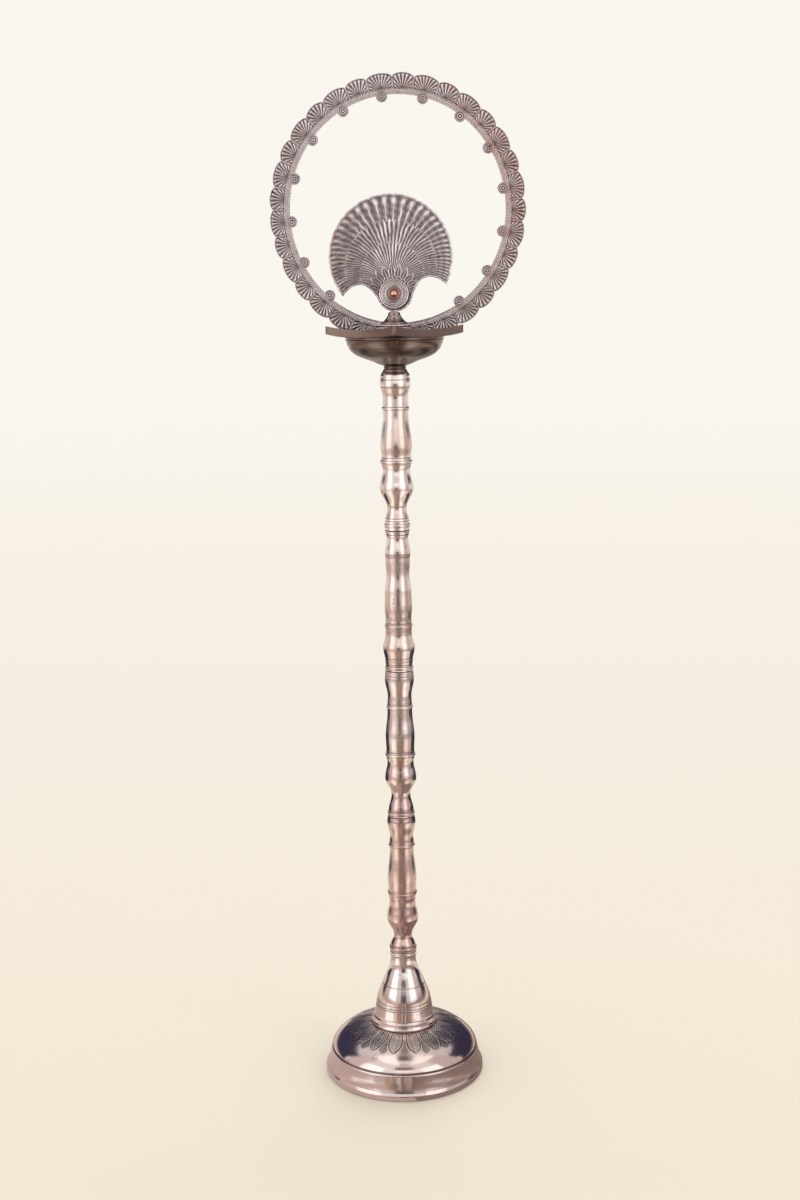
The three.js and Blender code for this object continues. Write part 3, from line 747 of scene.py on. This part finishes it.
SHELL_PAIRS = 16
ROSETTES = 14
SHELL_PITCH = math.radians(21.9)
LARGE_SHARE = 0.54
CREST = 111.7
NOTCH = 3.5
RING_INNER = 94
RING_STRETCH = 1.03
RING_CENTRE = (4.45, 114.81)
RING_TURN = math.radians(3.1)
SEAM = 98.6
ROSETTE_CENTRE = 93
ROSETTE_RADIUS = 4.9
RING_FRONT = -1.7
RING_BACK = 1.5
RING_DEPTH = 1.15  # from the highest relief to the lowest
SHELL_STEPS = 64
LARGE_RIBS = 13
SMALL_RIBS = 11
HUB = [
    (CENTRE_BORE, 0), (10, 0), (10.4, 0.4), (10.4, 5), (11.4, 5.9), (13.6, 7.4), (14.9, 8.1), (15.3, 8.7),
    (15.4, 9.4), (15.4, 13.9), (15.1, 14.3), (14.7, 14.4), (14.7, 14.8), (15.1, 14.9), (15.4, 15.3),
    (15.4, 16), (15.1, 16.4), (CENTRE_BORE, 16.4),
]


def shell_list():
    """(middle, half width, ribs) of each shell in turn, large and small, as angles from the top."""
    plain = (TAU - ROSETTES * SHELL_PITCH) / (SHELL_PAIRS - ROSETTES)
    pitches = [SHELL_PITCH] * ROSETTES + [plain] * (SHELL_PAIRS - ROSETTES)
    middle = -((ROSETTES - 1) * SHELL_PITCH) / 2
    pairs = []
    for pitch, after in zip(pitches, pitches[1:] + pitches[:1]):
        pairs.append((middle, pitch * LARGE_SHARE / 2))
        middle += pitch / 2 + after / 2
    pairs.append((pairs[0][0] + TAU, pairs[0][1]))
    shells = []
    for (middle, half), (after, after_half) in zip(pairs, pairs[1:]):
        low, high = middle + half, after - after_half
        shells += [(middle, half, LARGE_RIBS), ((low + high) / 2, (high - low) / 2, SMALL_RIBS)]
    return shells


def crest_at(share):
    return CREST - NOTCH * (1 - np.maximum(0, 1 - share**2) ** 0.6)


def shell_relief(turn, radius, shell, seed):
    """Height, 0 to 1, and tone over one shell and the border inside it. The tone is painted shade: dark on
    the low ground and in grooves, plain on the raised ribs, pearls, rims and beads.
    """
    middle, half, ribs = shell
    off = turn - middle
    edge = crest_at(np.clip(off / half, -1, 1)) - radius
    side = (half - np.abs(off)) * radius
    inward = np.minimum(edge, side * 0.85 + 0.12)
    across = radius * np.sin(off)
    out = radius * np.cos(off) - SEAM + 1.2
    fan = np.arctan2(across, np.maximum(out, 0.05))
    reach = np.hypot(across, out)
    wave = swing(fan * 2 * ribs)
    rib = wave**1.5 * step(reach, 2, 4.5)
    pearl = wave**0.8 * bump(inward, 2, 1.15)
    rim = bump(inward, 0.42, 0.55)
    groove = bump(inward, 1, 0.28)
    seam = bump(radius, SEAM, 0.55)
    height = 0.22 + 0.42 * rib * step(inward, 0.9, 2.2) + 0.14 * step(reach, 2, 12)
    height = np.maximum.reduce([height, 0.84 * pearl, 0.92 * rim]) - 0.1 * groove
    height = np.maximum(height, 0.86 * seam)
    tone = np.minimum.reduce([0.97 - 0.8 * rib, 1 - 0.97 * pearl, 1 - 0.72 * rim])
    tone = np.where(radius < SEAM + 0.9, 0.85, np.maximum(tone, 0.85 * groove))
    tone = np.minimum(tone, 1 - 0.75 * seam)
    curl = np.cos(turn * 300 + 2.1 * np.sin(radius * 2.2))
    grain = 0.5 + 0.5 * np.cos(radius * TAU / 1.5 + 1.3 * np.sin(turn * 70 + seed)) * curl
    beads = bump(radius, SEAM - 1.5, 0.75) * swing(turn * 420)
    lip = bump(radius, RING_INNER + 0.35, 0.6)
    border = np.maximum.reduce([0.3 + 0.3 * grain, 0.8 * beads, 0.85 * lip])
    border_tone = np.minimum.reduce([0.75 - 0.55 * grain, 1 - 0.8 * beads, 1 - 0.7 * lip])
    in_border = radius < SEAM - 0.5
    return np.where(in_border, border, height), np.clip(np.where(in_border, border_tone, tone), 0, 1)


def to_ring(turn, radius, depth):
    """Points of the ring's own polar face in the frame of its piece."""
    angle = turn + RING_TURN
    x = RING_CENTRE[0] + radius * np.sin(angle)
    z = RING_CENTRE[1] + RING_STRETCH * radius * np.cos(angle)
    return stacked(x, depth, z)


def rosette():
    """A small round flower: a bead, a ring of petals and two raised rings."""
    turn = turns(72)
    rows = [(0, -2.55, 0.1)]
    for radius in np.linspace(0.15, ROSETTE_RADIUS, 44):
        flower = bump(radius, 2.35, 0.85) * (0.45 + 0.55 * np.abs(np.cos(4 * turn)))
        rings = 0.9 * bump(radius, 3.75, 0.42) + 0.8 * bump(radius, ROSETTE_RADIUS - 0.35, 0.45)
        high = np.clip(0.95 * bump(radius, 0, 1.15) + 0.75 * flower + rings, 0, 1)
        # Painted shade: the lower the relief, the darker the tone.
        rows.append((radius, -1.75 - 0.8 * high, 0.9 - 0.85 * high))
    rows += [(ROSETTE_RADIUS, -1.2, 0.3), (ROSETTE_RADIUS, 0.6, 0.3), (ROSETTE_RADIUS - 0.4, 0.9, 0.3)]
    rows.append((0, 0.9, 0.3))
    tones = [np.broadcast_to(tone, len(turn) if radius else 1) for radius, _, tone in rows]
    return laid(spin([row[:2] for row in rows], len(turn))), np.concatenate(tones)


def make_ring():
    shells = shell_list()
    across = np.linspace(-1, 1, SHELL_STEPS + 1)[:-1]
    turn = np.concatenate([middle + half * across for middle, half, _ in shells])
    crest = np.tile(crest_at(across), len(shells))
    inner = np.full(len(turn), RING_INNER)
    rows = []
    for share in np.concatenate([np.linspace(0, 0.3, 20)[:-1], np.linspace(0.3, 1, 46)]):
        radius = inner + (crest - inner) * share
        reliefs = []
        for k, shell in enumerate(shells):
            part = slice(k * SHELL_STEPS, (k + 1) * SHELL_STEPS)
            reliefs.append(shell_relief(turn[part], radius[part], shell, k))
        high, tone = np.concatenate(reliefs, axis=1)
        edge = 0 if 0.001 < share < 0.999 else 0.25
        rows.append((radius, RING_FRONT + RING_DEPTH - RING_DEPTH * high + edge, tone))
    side = RING_BACK - 0.4
    rows += [(crest, 0.2, 0.35), (crest, side, 0.35), (crest - 0.45, RING_BACK, 0.35)]
    for share in (0.75, 0.5, 0.25):
        hollow = 0.25 * math.sin(math.pi * share)
        rows.append((inner + (crest - inner) * share, RING_BACK - hollow, 0.4))
    rows += [(inner + 0.45, RING_BACK, 0.35), (inner, side, 0.35), (inner, 0.2, 0.35)]
    parts = [loft([to_ring(turn, radius, depth) for radius, depth, _ in rows], closed=True)]
    tones = [np.broadcast_to(tone, len(turn)) for _, _, tone in rows]
    flower, flower_tone = rosette()
    for middle, _, _ in shells[:2 * ROSETTES:2]:
        parts.append(moved(flower, *to_ring(middle, ROSETTE_CENTRE, 0)))
        tones.append(flower_tone)
    hub = spin(HUB, 96, closed=True)
    # Painted shade, darkest in the hub's groove; the rest of the hub is a little darker too.
    tones.append(0.25 + 0.6 * bump(hub[0][:, 2], 14.6, 0.5))
    tone = np.concatenate(tones)
    build("shell_ring", merged(*parts, hub), cast_brass, "bowl", "halo_ring", sharp=50, tone=tone)


# Finial


PEDESTAL = [
    (11.4, 0), (11.8, 0.3), (11.8, 1.2), (11.3, 1.7), (10.9, 1.9), (8.9, 3.5), (6.9, 5.7), (5.5, 8.2),
    (5.1, 9.9), (4.7, 10.4),
]
RIVET_RISE = 26.4
RIVET_HEIGHT = foot_of("finial_pedestal") + RIVET_RISE
RIVET_BORE = 2.1
TONGUE_FOOT = 3.2
TONGUE_TOP = 4.6
TONGUE_THICKNESS = 2.6


def make_pedestal():
    line = flowing(PEDESTAL, 0.3, corners=(2, 4))
    bored = [(0, CENTRE_DEPTH), (CENTRE_BORE, CENTRE_DEPTH), (CENTRE_BORE, 0)]
    turned = spin([*bored, *line, (0, PEDESTAL[-1][1])], 72)
    sweep = np.linspace(0, math.pi, 24)
    arch = [(TONGUE_TOP * math.cos(a), RIVET_RISE + TONGUE_TOP * math.sin(a)) for a in sweep]
    outline = [(TONGUE_FOOT, 9.4), *arch, (-TONGUE_FOOT, 9.4)][::-1]
    part = merged(turned, prism(outline, SEAT_GAP, SEAT_GAP + TONGUE_THICKNESS))
    # Painted shade in the crease between the foot's rim and its neck.
    tone = 0.7 * bump(part[0][:, 2], 1.8, 0.4)
    build("pedestal", part, darker_polished_brass, "finial", "finial_pedestal", tone=tone)


FAN_RADIUS = 54.3
FAN_CENTRE = 31.4
FAN_OFFSET = 0.9
FAN_LEAN = math.radians(-5.85)
MEDALLION = 13
FAN_GROUND = -1.65
HORN = 46.1
LOBE = 15.6
LOBE_END = math.radians(-14)
FAN_STEPS = 900
FAN_REACH = 88.5
# Rows of plumes: where they start and end as shares of the reach, shift, number in a pitch, narrowness
TIERS = ((0, 0.54, 0, 0.67, 1.4), (0.5, 0.755, 0.5, 0.95, 2.6), (0.72, 1.2, 0, 0.8, 7))


def fan_outline():
    """The fan about its rivet: a round top, two horns, two arched notches and a round lobe below."""

    def curve(a, b, c, d, count=40):
        t = np.linspace(0, 1, count)[:-1, None]
        a, b, c, d = map(np.asarray, (a, b, c, d))
        return (1 - t) ** 3 * a + 3 * t * (1 - t) ** 2 * b + 3 * t**2 * (1 - t) * c + t**3 * d

    def circle(radius, angle):
        return radius * np.stack([np.cos(angle), np.sin(angle)], -1)

    horn_angle = -math.acos(HORN / FAN_RADIUS)
    horn = np.array([HORN, FAN_CENTRE + FAN_RADIUS * math.sin(horn_angle)])
    low = circle(LOBE, LOBE_END)
    notch = np.array([30.6, 10.9])
    top = np.linspace(horn_angle, math.pi - horn_angle, 240)[:-1]
    wavy = 0.16 * np.sin(top * 61) + 0.12 * np.sin(top * 29 + 1)
    arc = circle(FAN_RADIUS, top) + [0, FAN_CENTRE] + circle((wavy - 0.3)[:, None], top)
    right = [
        (low, low + [2, 4.6], notch - [8, 0], notch), (notch, notch + [8, 0], horn + [-3.5, 2.6], horn),
    ]
    left = [[spot * [-1, 1] for spot in bend[::-1]] for bend in right[::-1]]
    lobe = circle(LOBE, np.linspace(math.pi - LOBE_END, TAU + LOBE_END, 50)[:-1])
    line = [arc, *[curve(*bend) for bend in left], lobe, *[curve(*bend) for bend in right]]
    return np.concatenate(line) + [FAN_OFFSET, 0]


def distance_to(line, x, z):
    """The distance from each point to a closed line."""
    best = np.full(x.shape, 1e9)
    for (ax, az), (bx, bz) in zip(line, np.roll(line, -1, 0)):
        dx, dz = bx - ax, bz - az
        share = np.clip(((x - ax) * dx + (z - az) * dz) / (dx * dx + dz * dz + 1e-9), 0, 1)
        best = np.minimum(best, (x - ax - share * dx) ** 2 + (z - az - share * dz) ** 2)
    return np.sqrt(best)


def fan_relief(x, z, line):
    """Height in millimetres in front of the plate's ground, and tone over the fan's face. The tone is painted
    shade: dark on the ground and in grooves, plain on the raised plumes, leaves, rim and rings.
    """
    radius = np.hypot(x, z)
    angle = np.arctan2(x - FAN_OFFSET * np.clip(radius / 60, 0, 1), z)
    edge = distance_to(line, x, z)
    chord = np.sqrt(np.maximum(1, FAN_RADIUS**2 - (FAN_CENTRE * np.sin(angle)) ** 2))
    limit = np.where(np.abs(angle) > 1.7, 60, FAN_CENTRE * np.cos(angle) + chord)
    share = radius / limit
    drift = 0.003 * np.sin(radius / 3.1 + 9 * angle) + 0.003 * np.sin(radius / 1.7 - 23 * angle)
    plume = (angle + drift) / (1 + 0.03 * np.maximum(0, radius - MEDALLION))
    pitch = math.radians(1.6)
    height = np.zeros_like(radius)
    tone = np.full_like(radius, 0.8)
    for low, high, shift, often, narrow in TIERS:
        place = plume / pitch * often + shift
        wave = swing(TAU * place)
        near = np.abs(place - np.round(place))
        start = low + 0.035 * (1 - bump(near, 0, 0.5)) if low else 0
        stem = wave**narrow * (0.8 + 0.2 * np.sin(5.1 * np.round(place) + 0.25 * radius))
        if low > 0.6:
            stem = np.maximum(stem, bump(share, 0.93, 0.05) * bump(near, 0, 0.3))
        barbs = swing(TAU * (radius / 1.9 + near * 3.6)) * (0.7 + 0.3 * np.sin(radius + 31 * angle))
        barbs = barbs * (1 - 0.85 * bump(near, 0.5, 0.13)) * (0.62 if low > 0.6 else 0.4 if low else 0.2)
        lip = bump(share, high - 0.012, 0.016) * bump(near, 0, 0.46) * (high < 1)
        light = np.maximum.reduce([stem, barbs, 0.85 * lip])
        inside = share > start
        height = np.where(inside, (0.14 + 0.7 * light) * (1 - 0.2 * step(share, high, low)), height)
        tone = np.where(inside, 0.98 - 0.96 * light, tone)
    for leaf in range(-5, 6):
        off = (angle - math.radians(17) * leaf) * radius
        along = (radius - MEDALLION - 0.4) / (13.5 - 0.8 * abs(leaf))
        half = 3 * np.sin(np.pi * np.clip(along, 0, 1) ** 0.75) ** 0.8 + 0.05
        inside = half - np.abs(off)
        on = (along > 0) & (along < 1) & (inside > 0)
        outline = bump(inside, 0.35, 0.5)
        vein = bump(off, 0, 0.4)
        height = np.where(on, 0.35 + 0.6 * np.maximum(outline, 0.8 * vein), height)
        tone = np.where(on, 0.9 - 0.85 * np.maximum(outline, vein), tone)
    rim = bump(edge, 0.75, 0.95)
    wave = 0.75 + 0.25 * np.sin(angle * 60 + 2 * np.sin(angle * 17))
    groove = bump(edge, 2.1, 0.6)
    height = np.maximum(height * step(edge, 0.9, 2.2), rim * wave * 0.95) - 0.15 * groove
    tone = np.maximum(np.where(edge < 1.5, 0.75 - 0.6 * rim * wave, tone), 0.85 * groove)
    inner = radius < MEDALLION
    beads = bump(radius, 8.9, 0.75) * swing(angle * 36)
    rings = np.maximum.reduce([
        bump(radius, 12.5, 0.55), 0.9 * bump(radius, 10.6, 0.5), beads, 0.85 * bump(radius, 7.3, 0.5),
    ])
    grain = 0.5 + 0.5 * np.cos(angle * 60 + radius * 3) * np.cos(radius * 4.2)
    face = 0.5 + 0.42 * rings + 0.06 * grain
    height = np.where(inner, face + 0.75, height)
    tone = np.where(inner, np.clip(0.85 - 0.8 * rings - 0.2 * grain, 0.03, 1), tone)
    return height, np.clip(tone, 0, 1)


def make_fan():
    line = fan_outline()
    turn = (np.arange(FAN_STEPS) + 0.37) * TAU / FAN_STEPS
    radii = np.concatenate([np.arange(RIVET_BORE, 15, 0.2), np.arange(15, FAN_REACH, 0.42)])
    rows = []
    for radius in radii:
        x, z = radius * np.sin(turn), radius * np.cos(turn)
        near = (z > -22) & (np.abs(x) < 64)
        height = np.zeros(FAN_STEPS)
        height[near] = fan_relief(x[near], z[near], line)[0]
        rows.append(stacked(x, FAN_GROUND - height, z))
    rows += [rows[-1] * [1, 0, 1], rows[0] * [1, 0, 1]]
    points, faces = shared(loft(rows, closed=True), prism(line[::-1], -6, 6))
    x, y, z = points.T
    # The plate's edges and back take an even, half-dark tone.
    tone = np.where(y > -0.9, 0.45, fan_relief(x, z, line)[1])
    cos, sin = math.cos(FAN_LEAN), math.sin(FAN_LEAN)
    part = stacked(x * cos + z * sin, y, z * cos - x * sin), faces
    build("peacock_fan", part, fan_brass, "fan", "fan_plate", at=RIVET_HEIGHT, sharp=60, tone=tone)


DISH = [
    (2.1, 0.9), (2.1, 0.35), (2.4, 0.1), (3, 0.25), (3.5, 0.3), (4, 0.05), (4.6, 0), (5, 0.2),
    (5.1, 0.5), (5, 0.9),
]
RIVET_HEAD = 2.6
RIVET_DOME = 1.7
RIVET_SHANK = 1.8


def make_rivet():
    washer = laid(spin(DISH, 64, closed=True))
    # Painted shade in the hollow ring of the dish.
    tone = 0.7 * bump(np.hypot(washer[0][:, 0], washer[0][:, 2]), 3.3, 0.5)
    washer = moved(washer, y=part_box("fan_copper_washer")[0].y / MM)
    build("copper_washer", washer, copper, "finial", "fan_copper_washer", at=RIVET_HEIGHT, tone=tone)
    back = moved(laid(flat_ring(RIVET_BORE, 4, 0.8, 48, 0.15)), y=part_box("fan_back_washer")[0].y / MM)
    build("back_washer", back, screw_brass, "finial", "fan_back_washer", at=RIVET_HEIGHT)
    low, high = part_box("fan_rivet")
    front, back = low.y / MM, high.y / MM
    quarter = np.linspace(0, math.pi / 2, 12)
    head = [(RIVET_HEAD * math.sin(a), front + RIVET_DOME * (1 - math.cos(a))) for a in quarter]
    shank = [(RIVET_SHANK, front + RIVET_DOME), (RIVET_SHANK, back - 1.2)]
    tail = [(3, back - 1.2), (2.9, back - 0.8), (2.4, back - 0.3), (1.6, back), (0, back)]
    part = laid(spin([*head, *shank, *tail], 48))
    build("rivet", part, rivet_brass, "finial", "fan_rivet", at=RIVET_HEIGHT)


make_foot()
make_bell()
for number, (stations, fine) in enumerate(zip(SECTIONS, FINE_LINES), 1):
    make_section(number, stations, fine)
make_screws()
make_tie()
make_bowl()
make_ring()
make_pedestal()
make_fan()
make_rivet()


# Camera, floor, background and lights. Shapes of the stage are in metres

LENS = 48.33
CAMERA_PLACE = (0.0016, -1.4405, 0.7219)
CAMERA_PITCH = -10.55
CAMERA_ROLL = -0.8


def around(turn, reach, height):
    """A place round the lamp: turn 0 is behind the camera, and it grows towards +X."""
    angle = math.radians(turn)
    return (reach * math.sin(angle), -reach * math.cos(angle), height)


lens = tuned(bpy.data.cameras.new("camera"), lens=LENS, sensor_width=36, clip_start=0.05, clip_end=60)
camera = placed("camera", lens)
tilt = Matrix.Rotation(math.radians(90 + CAMERA_PITCH), 4, "X")
roll = Matrix.Rotation(math.radians(CAMERA_ROLL), 4, "Z")
camera.matrix_world = Matrix.Translation(CAMERA_PLACE) @ tilt @ roll
bpy.context.scene.camera = camera


def staged(name, points, faces, look):
    mesh = new_mesh(name, points, faces)
    mesh.materials.append(look)
    plane = placed(name, mesh)
    return plane


# The paper's colour at distances behind the lamp. From FADE_START on it lets the background through
PAPER = [
    (-0.3, (0.871, 0.776, 0.617)), (0.14, (0.888, 0.815, 0.68)), (0.83, (0.905, 0.842, 0.728)),
    (2.44, (0.925, 0.87, 0.775)), (6, (0.945, 0.905, 0.835)),
]
FADE_START = 2
FADE_END = 11
PLAIN_REACH = 0.6  # beside and before the lamp, the colour starts to change this much further out
FLOOR_HALF = 20
FLOOR_HEIGHT = -0.0005


def make_floor():
    look, tree, paper = new_look("floor_paper")
    feed(paper["Roughness"], 0.9)
    feed(paper["Specular IOR Level"], 0.1)
    place = add(tree, "TexCoord", output="Object")
    behind = add(tree, "SeparateXYZ", {"Vector": place}, "Y")
    reach = add(tree, "VectorMath", {0: place}, "Value", operation="LENGTH")
    nearer = add(tree, "Math", {0: reach, 1: PLAIN_REACH}, operation="SUBTRACT")
    away = add(tree, "Math", {0: behind, 1: nearer}, operation="MAXIMUM")
    start, end = PAPER[0][0], PAPER[-1][0]
    depth = add(tree, "MapRange", {"Value": away, "From Min": start, "From Max": end})
    shade = add(tree, "ValToRGB", {"Fac": depth})
    stops = shade.node.color_ramp.elements
    stops[0].color, stops[1].color = (*PAPER[0][1], 1), (*PAPER[-1][1], 1)
    for distance, colour in PAPER[1:-1]:
        stops.new((distance - start) / (end - start)).color = (*colour, 1)
    feed(paper["Base Color"], shade)
    ends = {"Value": reach, "From Min": FADE_START, "From Max": FADE_END}
    fade = add(tree, "MapRange", ends, interpolation_type="SMOOTHERSTEP")
    solid = paper["Base Color"].node.outputs[0]
    show(tree, add(tree, "MixShader", {"Fac": fade, 1: solid, 2: add(tree, "BsdfTransparent")}))
    half = FLOOR_HALF
    corners = [(-half, -half, 0), (half, -half, 0), (half, half, 0), (-half, half, 0)]
    staged("floor", corners, [(0, 1, 2, 3)], look).location = (0, 0, FLOOR_HEIGHT)


# The background that the camera and the metals see, and the light that falls on the floor
SEEN = (0.955, 0.925, 0.865)
LIT_STRENGTH = 0.83


def make_world():
    world = bpy.data.worlds.new("studio")
    bpy.context.scene.world = world
    world.use_nodes = True
    tree = world.node_tree
    tree.nodes.clear()
    seen = add(tree, "Background", {"Color": SEEN})
    lit = add(tree, "Background", {"Color": (1, 1, 1), "Strength": LIT_STRENGTH})
    either = add(tree, "LightPath", output="Is Camera Ray")
    rays = either.node.outputs
    for kind in ("Is Glossy Ray", "Is Transmission Ray"):
        either = add(tree, "Math", {0: either, 1: rays[kind]}, operation="MAXIMUM")
    sky = tree.nodes.new("ShaderNodeOutputWorld")
    feed(sky.inputs["Surface"], add(tree, "MixShader", {"Fac": either, 1: lit, 2: seen}))


LAMP_COLOUR = (1, 0.985, 0.97)
LAMP_PLACE = (2.6, 2)
LAMP_TARGET = (0, 0, 0.45)


def lamp(name, kind, place, target, **settings):
    """A lamp that mirrors and the camera don't show."""
    data = tuned(bpy.data.lights.new(name, kind), color=LAMP_COLOUR, **settings)
    aim = (Vector(target) - Vector(place)).to_track_quat("-Z", "Y").to_euler()
    tuned(placed(name, data), location=place, rotation_euler=aim, visible_camera=False, visible_glossy=False)


def mirrored(name, points, faces, colour):
    """A glowing sheet that only mirrors show."""
    look, tree, _ = new_look(name + "_card")
    show(tree, add(tree, "Emission", {"Color": colour}))
    unseen = ("visible_camera", "visible_diffuse", "visible_shadow", "visible_transmission")
    tuned(staged(name, points, faces, look), **dict.fromkeys(unseen, False))


CARD_REACH = 1.3


def card(name, start, end, low, high, colour, strength=1, reach=CARD_REACH):
    """A standing curved card between two turns and two heights."""
    steps = max(2, int(abs(end - start) / 4))
    points, faces = [], []
    for k in range(steps + 1):
        turn = start + (end - start) * k / steps
        points += [around(turn, reach, low), around(turn, reach, high)]
        if k:
            faces.append((2 * k - 2, 2 * k, 2 * k + 1, 2 * k - 1))
    mirrored(name, points, faces, [part * strength for part in colour])


def sheet(name, points, colour):
    mirrored(name, points, [tuple(range(len(points)))], colour)


make_floor()
make_world()
for name, turn, size, energy in (("soft_left", -50, 1.6, 2), ("soft_right", 50, 1, 5)):
    place = around(turn, *LAMP_PLACE)
    lamp(name, "AREA", place, LAMP_TARGET, shape="RECTANGLE", size=size, size_y=size, energy=energy)
lamp("soft_sun", "SUN", around(165, 2, 1.8), (0, 0, 0), energy=0.75, angle=math.radians(50))

# What the brass reflects: name, first and last turn, foot and top, colour, strength, reach
NAVY = (0.05, 0.045, 0.09)
WHITE = (1, 0.96, 0.955)
CARDS = [
    ("front_dark", -14, 12, 0.2, 0.62, (0.13, 0.1, 0.11)),
    ("front_pale", -14, 12, 0.62, 1.15, WHITE, 1.3),
    ("front_brown", -18, 16, 1.15, 1.7, (0.22, 0.155, 0.145)),
    ("front_tan", -14, 12, 1.7, 3.2, (0.72, 0.63, 0.55)),
    ("left_near", -36, -14, 0.2, 0.62, WHITE, 0.8),
    ("left_near_high", -36, -14, 0.62, 1.15, WHITE, 1.05),
    ("left_near_top", -36, -18, 1.15, 3.2, WHITE, 0.95),
    ("left_bright", -72, -36, 0.2, 1.25, WHITE, 1.75),
    ("left_bright_top", -72, -36, 1.25, 3.2, WHITE),
    ("left_pink", -100, -72, 0.2, 3.2, (0.8, 0.69, 0.68)),
    ("right_near", 12, 30, 0.2, 0.62, WHITE, 0.8),
    ("right_near_high", 12, 30, 0.62, 1.15, WHITE, 1.25),
    ("right_near_top", 16, 30, 1.15, 3.2, WHITE, 0.95),
    ("right_bright", 30, 60, 0.2, 1.25, WHITE, 1.8),
    ("right_bright_top", 30, 60, 1.25, 3.2, WHITE),
    ("right_pink", 60, 95, 0.2, 3.2, (0.76, 0.67, 0.67)),
    ("left_navy", -166, -100, 0.7, 1.3, NAVY),
    ("left_navy_low", -166, -100, 0.07, 0.29, NAVY, 1, 0.5),
    ("left_far_top", -134, -100, 1.3, 3.2, WHITE, 0.85),
    ("left_navy_top", -166, -134, 1.3, 2.6, NAVY),
    ("right_navy", 95, 166, 0.7, 1.3, NAVY),
    ("right_navy_low", 95, 166, 0.07, 0.29, NAVY, 1, 0.5),
    ("right_far_top", 95, 130, 1.3, 3.2, WHITE, 0.85),
    ("right_navy_top", 130, 166, 1.3, 2.6, NAVY),
    ("back", 160, 200, 0.4, 3.2, (1.12, 1.06, 1.05)),
    ("apron_left", -180, -22, 0, 0.25, (0.66, 0.5, 0.465), 1, 1.28),
    ("apron_right", -22, 180, 0, 0.25, (0.35, 0.265, 0.25), 1, 1.28),
]
STREAKS = [
    (-24, -19, (0.5, 0.36, 0.22)), (-15, -12, (0.24, 0.18, 0.15)), (-8, -6, (1, 0.95, 0.92)),
    (-5, -1, (0.13, 0.09, 0.09)), (2, 5, (0.42, 0.27, 0.18)), (5, 7, (0.9, 0.85, 0.8)),
    (9, 13, (0.16, 0.11, 0.1)),
]
CEILING = [
    ("dark", -0.32, 0.34, -0.62, -0.02, (0.16, 0.11, 0.12)),
    ("left", -1.9, -0.32, -1.5, 0.1, (1.5, 1.44, 1.42)),
    ("right", 0.34, 1.9, -1.5, 0.1, (1.5, 1.44, 1.42)),
]
CEILING_HEIGHT = 2.6
STREAK_TOP = 0.22
STREAK_REACH = 1.26
TABLE_REACH = 0.34
TABLE_HEIGHT = 0.0004
PATCH_REACH = 1.25
PATCH_HEIGHT = 0.0006
WEDGE_HALF = 28
WEDGE_HEIGHT = 0.0003
TABLE = (("near_left", -172, (0.64, 0.5, 0.47)), ("near_right", 8, (0.33, 0.25, 0.235)))
PATCHES = [("left_floor", -74, -40, 0.22, (1.5, 1.44, 1.4)), ("right_floor", 36, 64, 0.3, (1.5, 1.44, 1.4))]
PATCHES += [(f"floor_streak_{k}", start, end, 0.1, colour) for k, (start, end, colour) in enumerate(STREAKS)]

for card_row in CARDS:
    card(*card_row)
for number, (start, end, colour) in enumerate(STREAKS):
    card(f"streak_{number}", start, end, 0, STREAK_TOP, colour, reach=STREAK_REACH)
for name, left, right, near, far, colour in CEILING:
    sheet("ceiling_" + name, [(x, y, CEILING_HEIGHT) for x, y in (
        (left, near), (right, near), (right, far), (left, far),
    )], colour)
for name, start, colour in TABLE:
    rim = [around(turn, TABLE_REACH, TABLE_HEIGHT) for turn in range(start, start + 181, 10)]
    sheet(name, rim, colour)
for name, start, end, inner, colour in PATCHES:
    sweep = np.linspace(start, end, 16)
    near = [around(turn, inner, PATCH_HEIGHT) for turn in sweep]
    sheet(name, near + [around(turn, PATCH_REACH, PATCH_HEIGHT) for turn in sweep[::-1]], colour)
sweep = range(-WEDGE_HALF, WEDGE_HALF + 1, 4)
wedge = [around(turn, 0.3, WEDGE_HEIGHT) for turn in sweep]
wedge += [around(turn, 1.45, WEDGE_HEIGHT) for turn in sweep[::-1]]
sheet("front_table", wedge, (0.47, 0.315, 0.25))

bpy.context.scene.view_settings.view_transform = "Standard"


def plain(box):
    return [[round(float(value), 6) for value in corner] for corner in box]


bpy.context.view_layer.update()
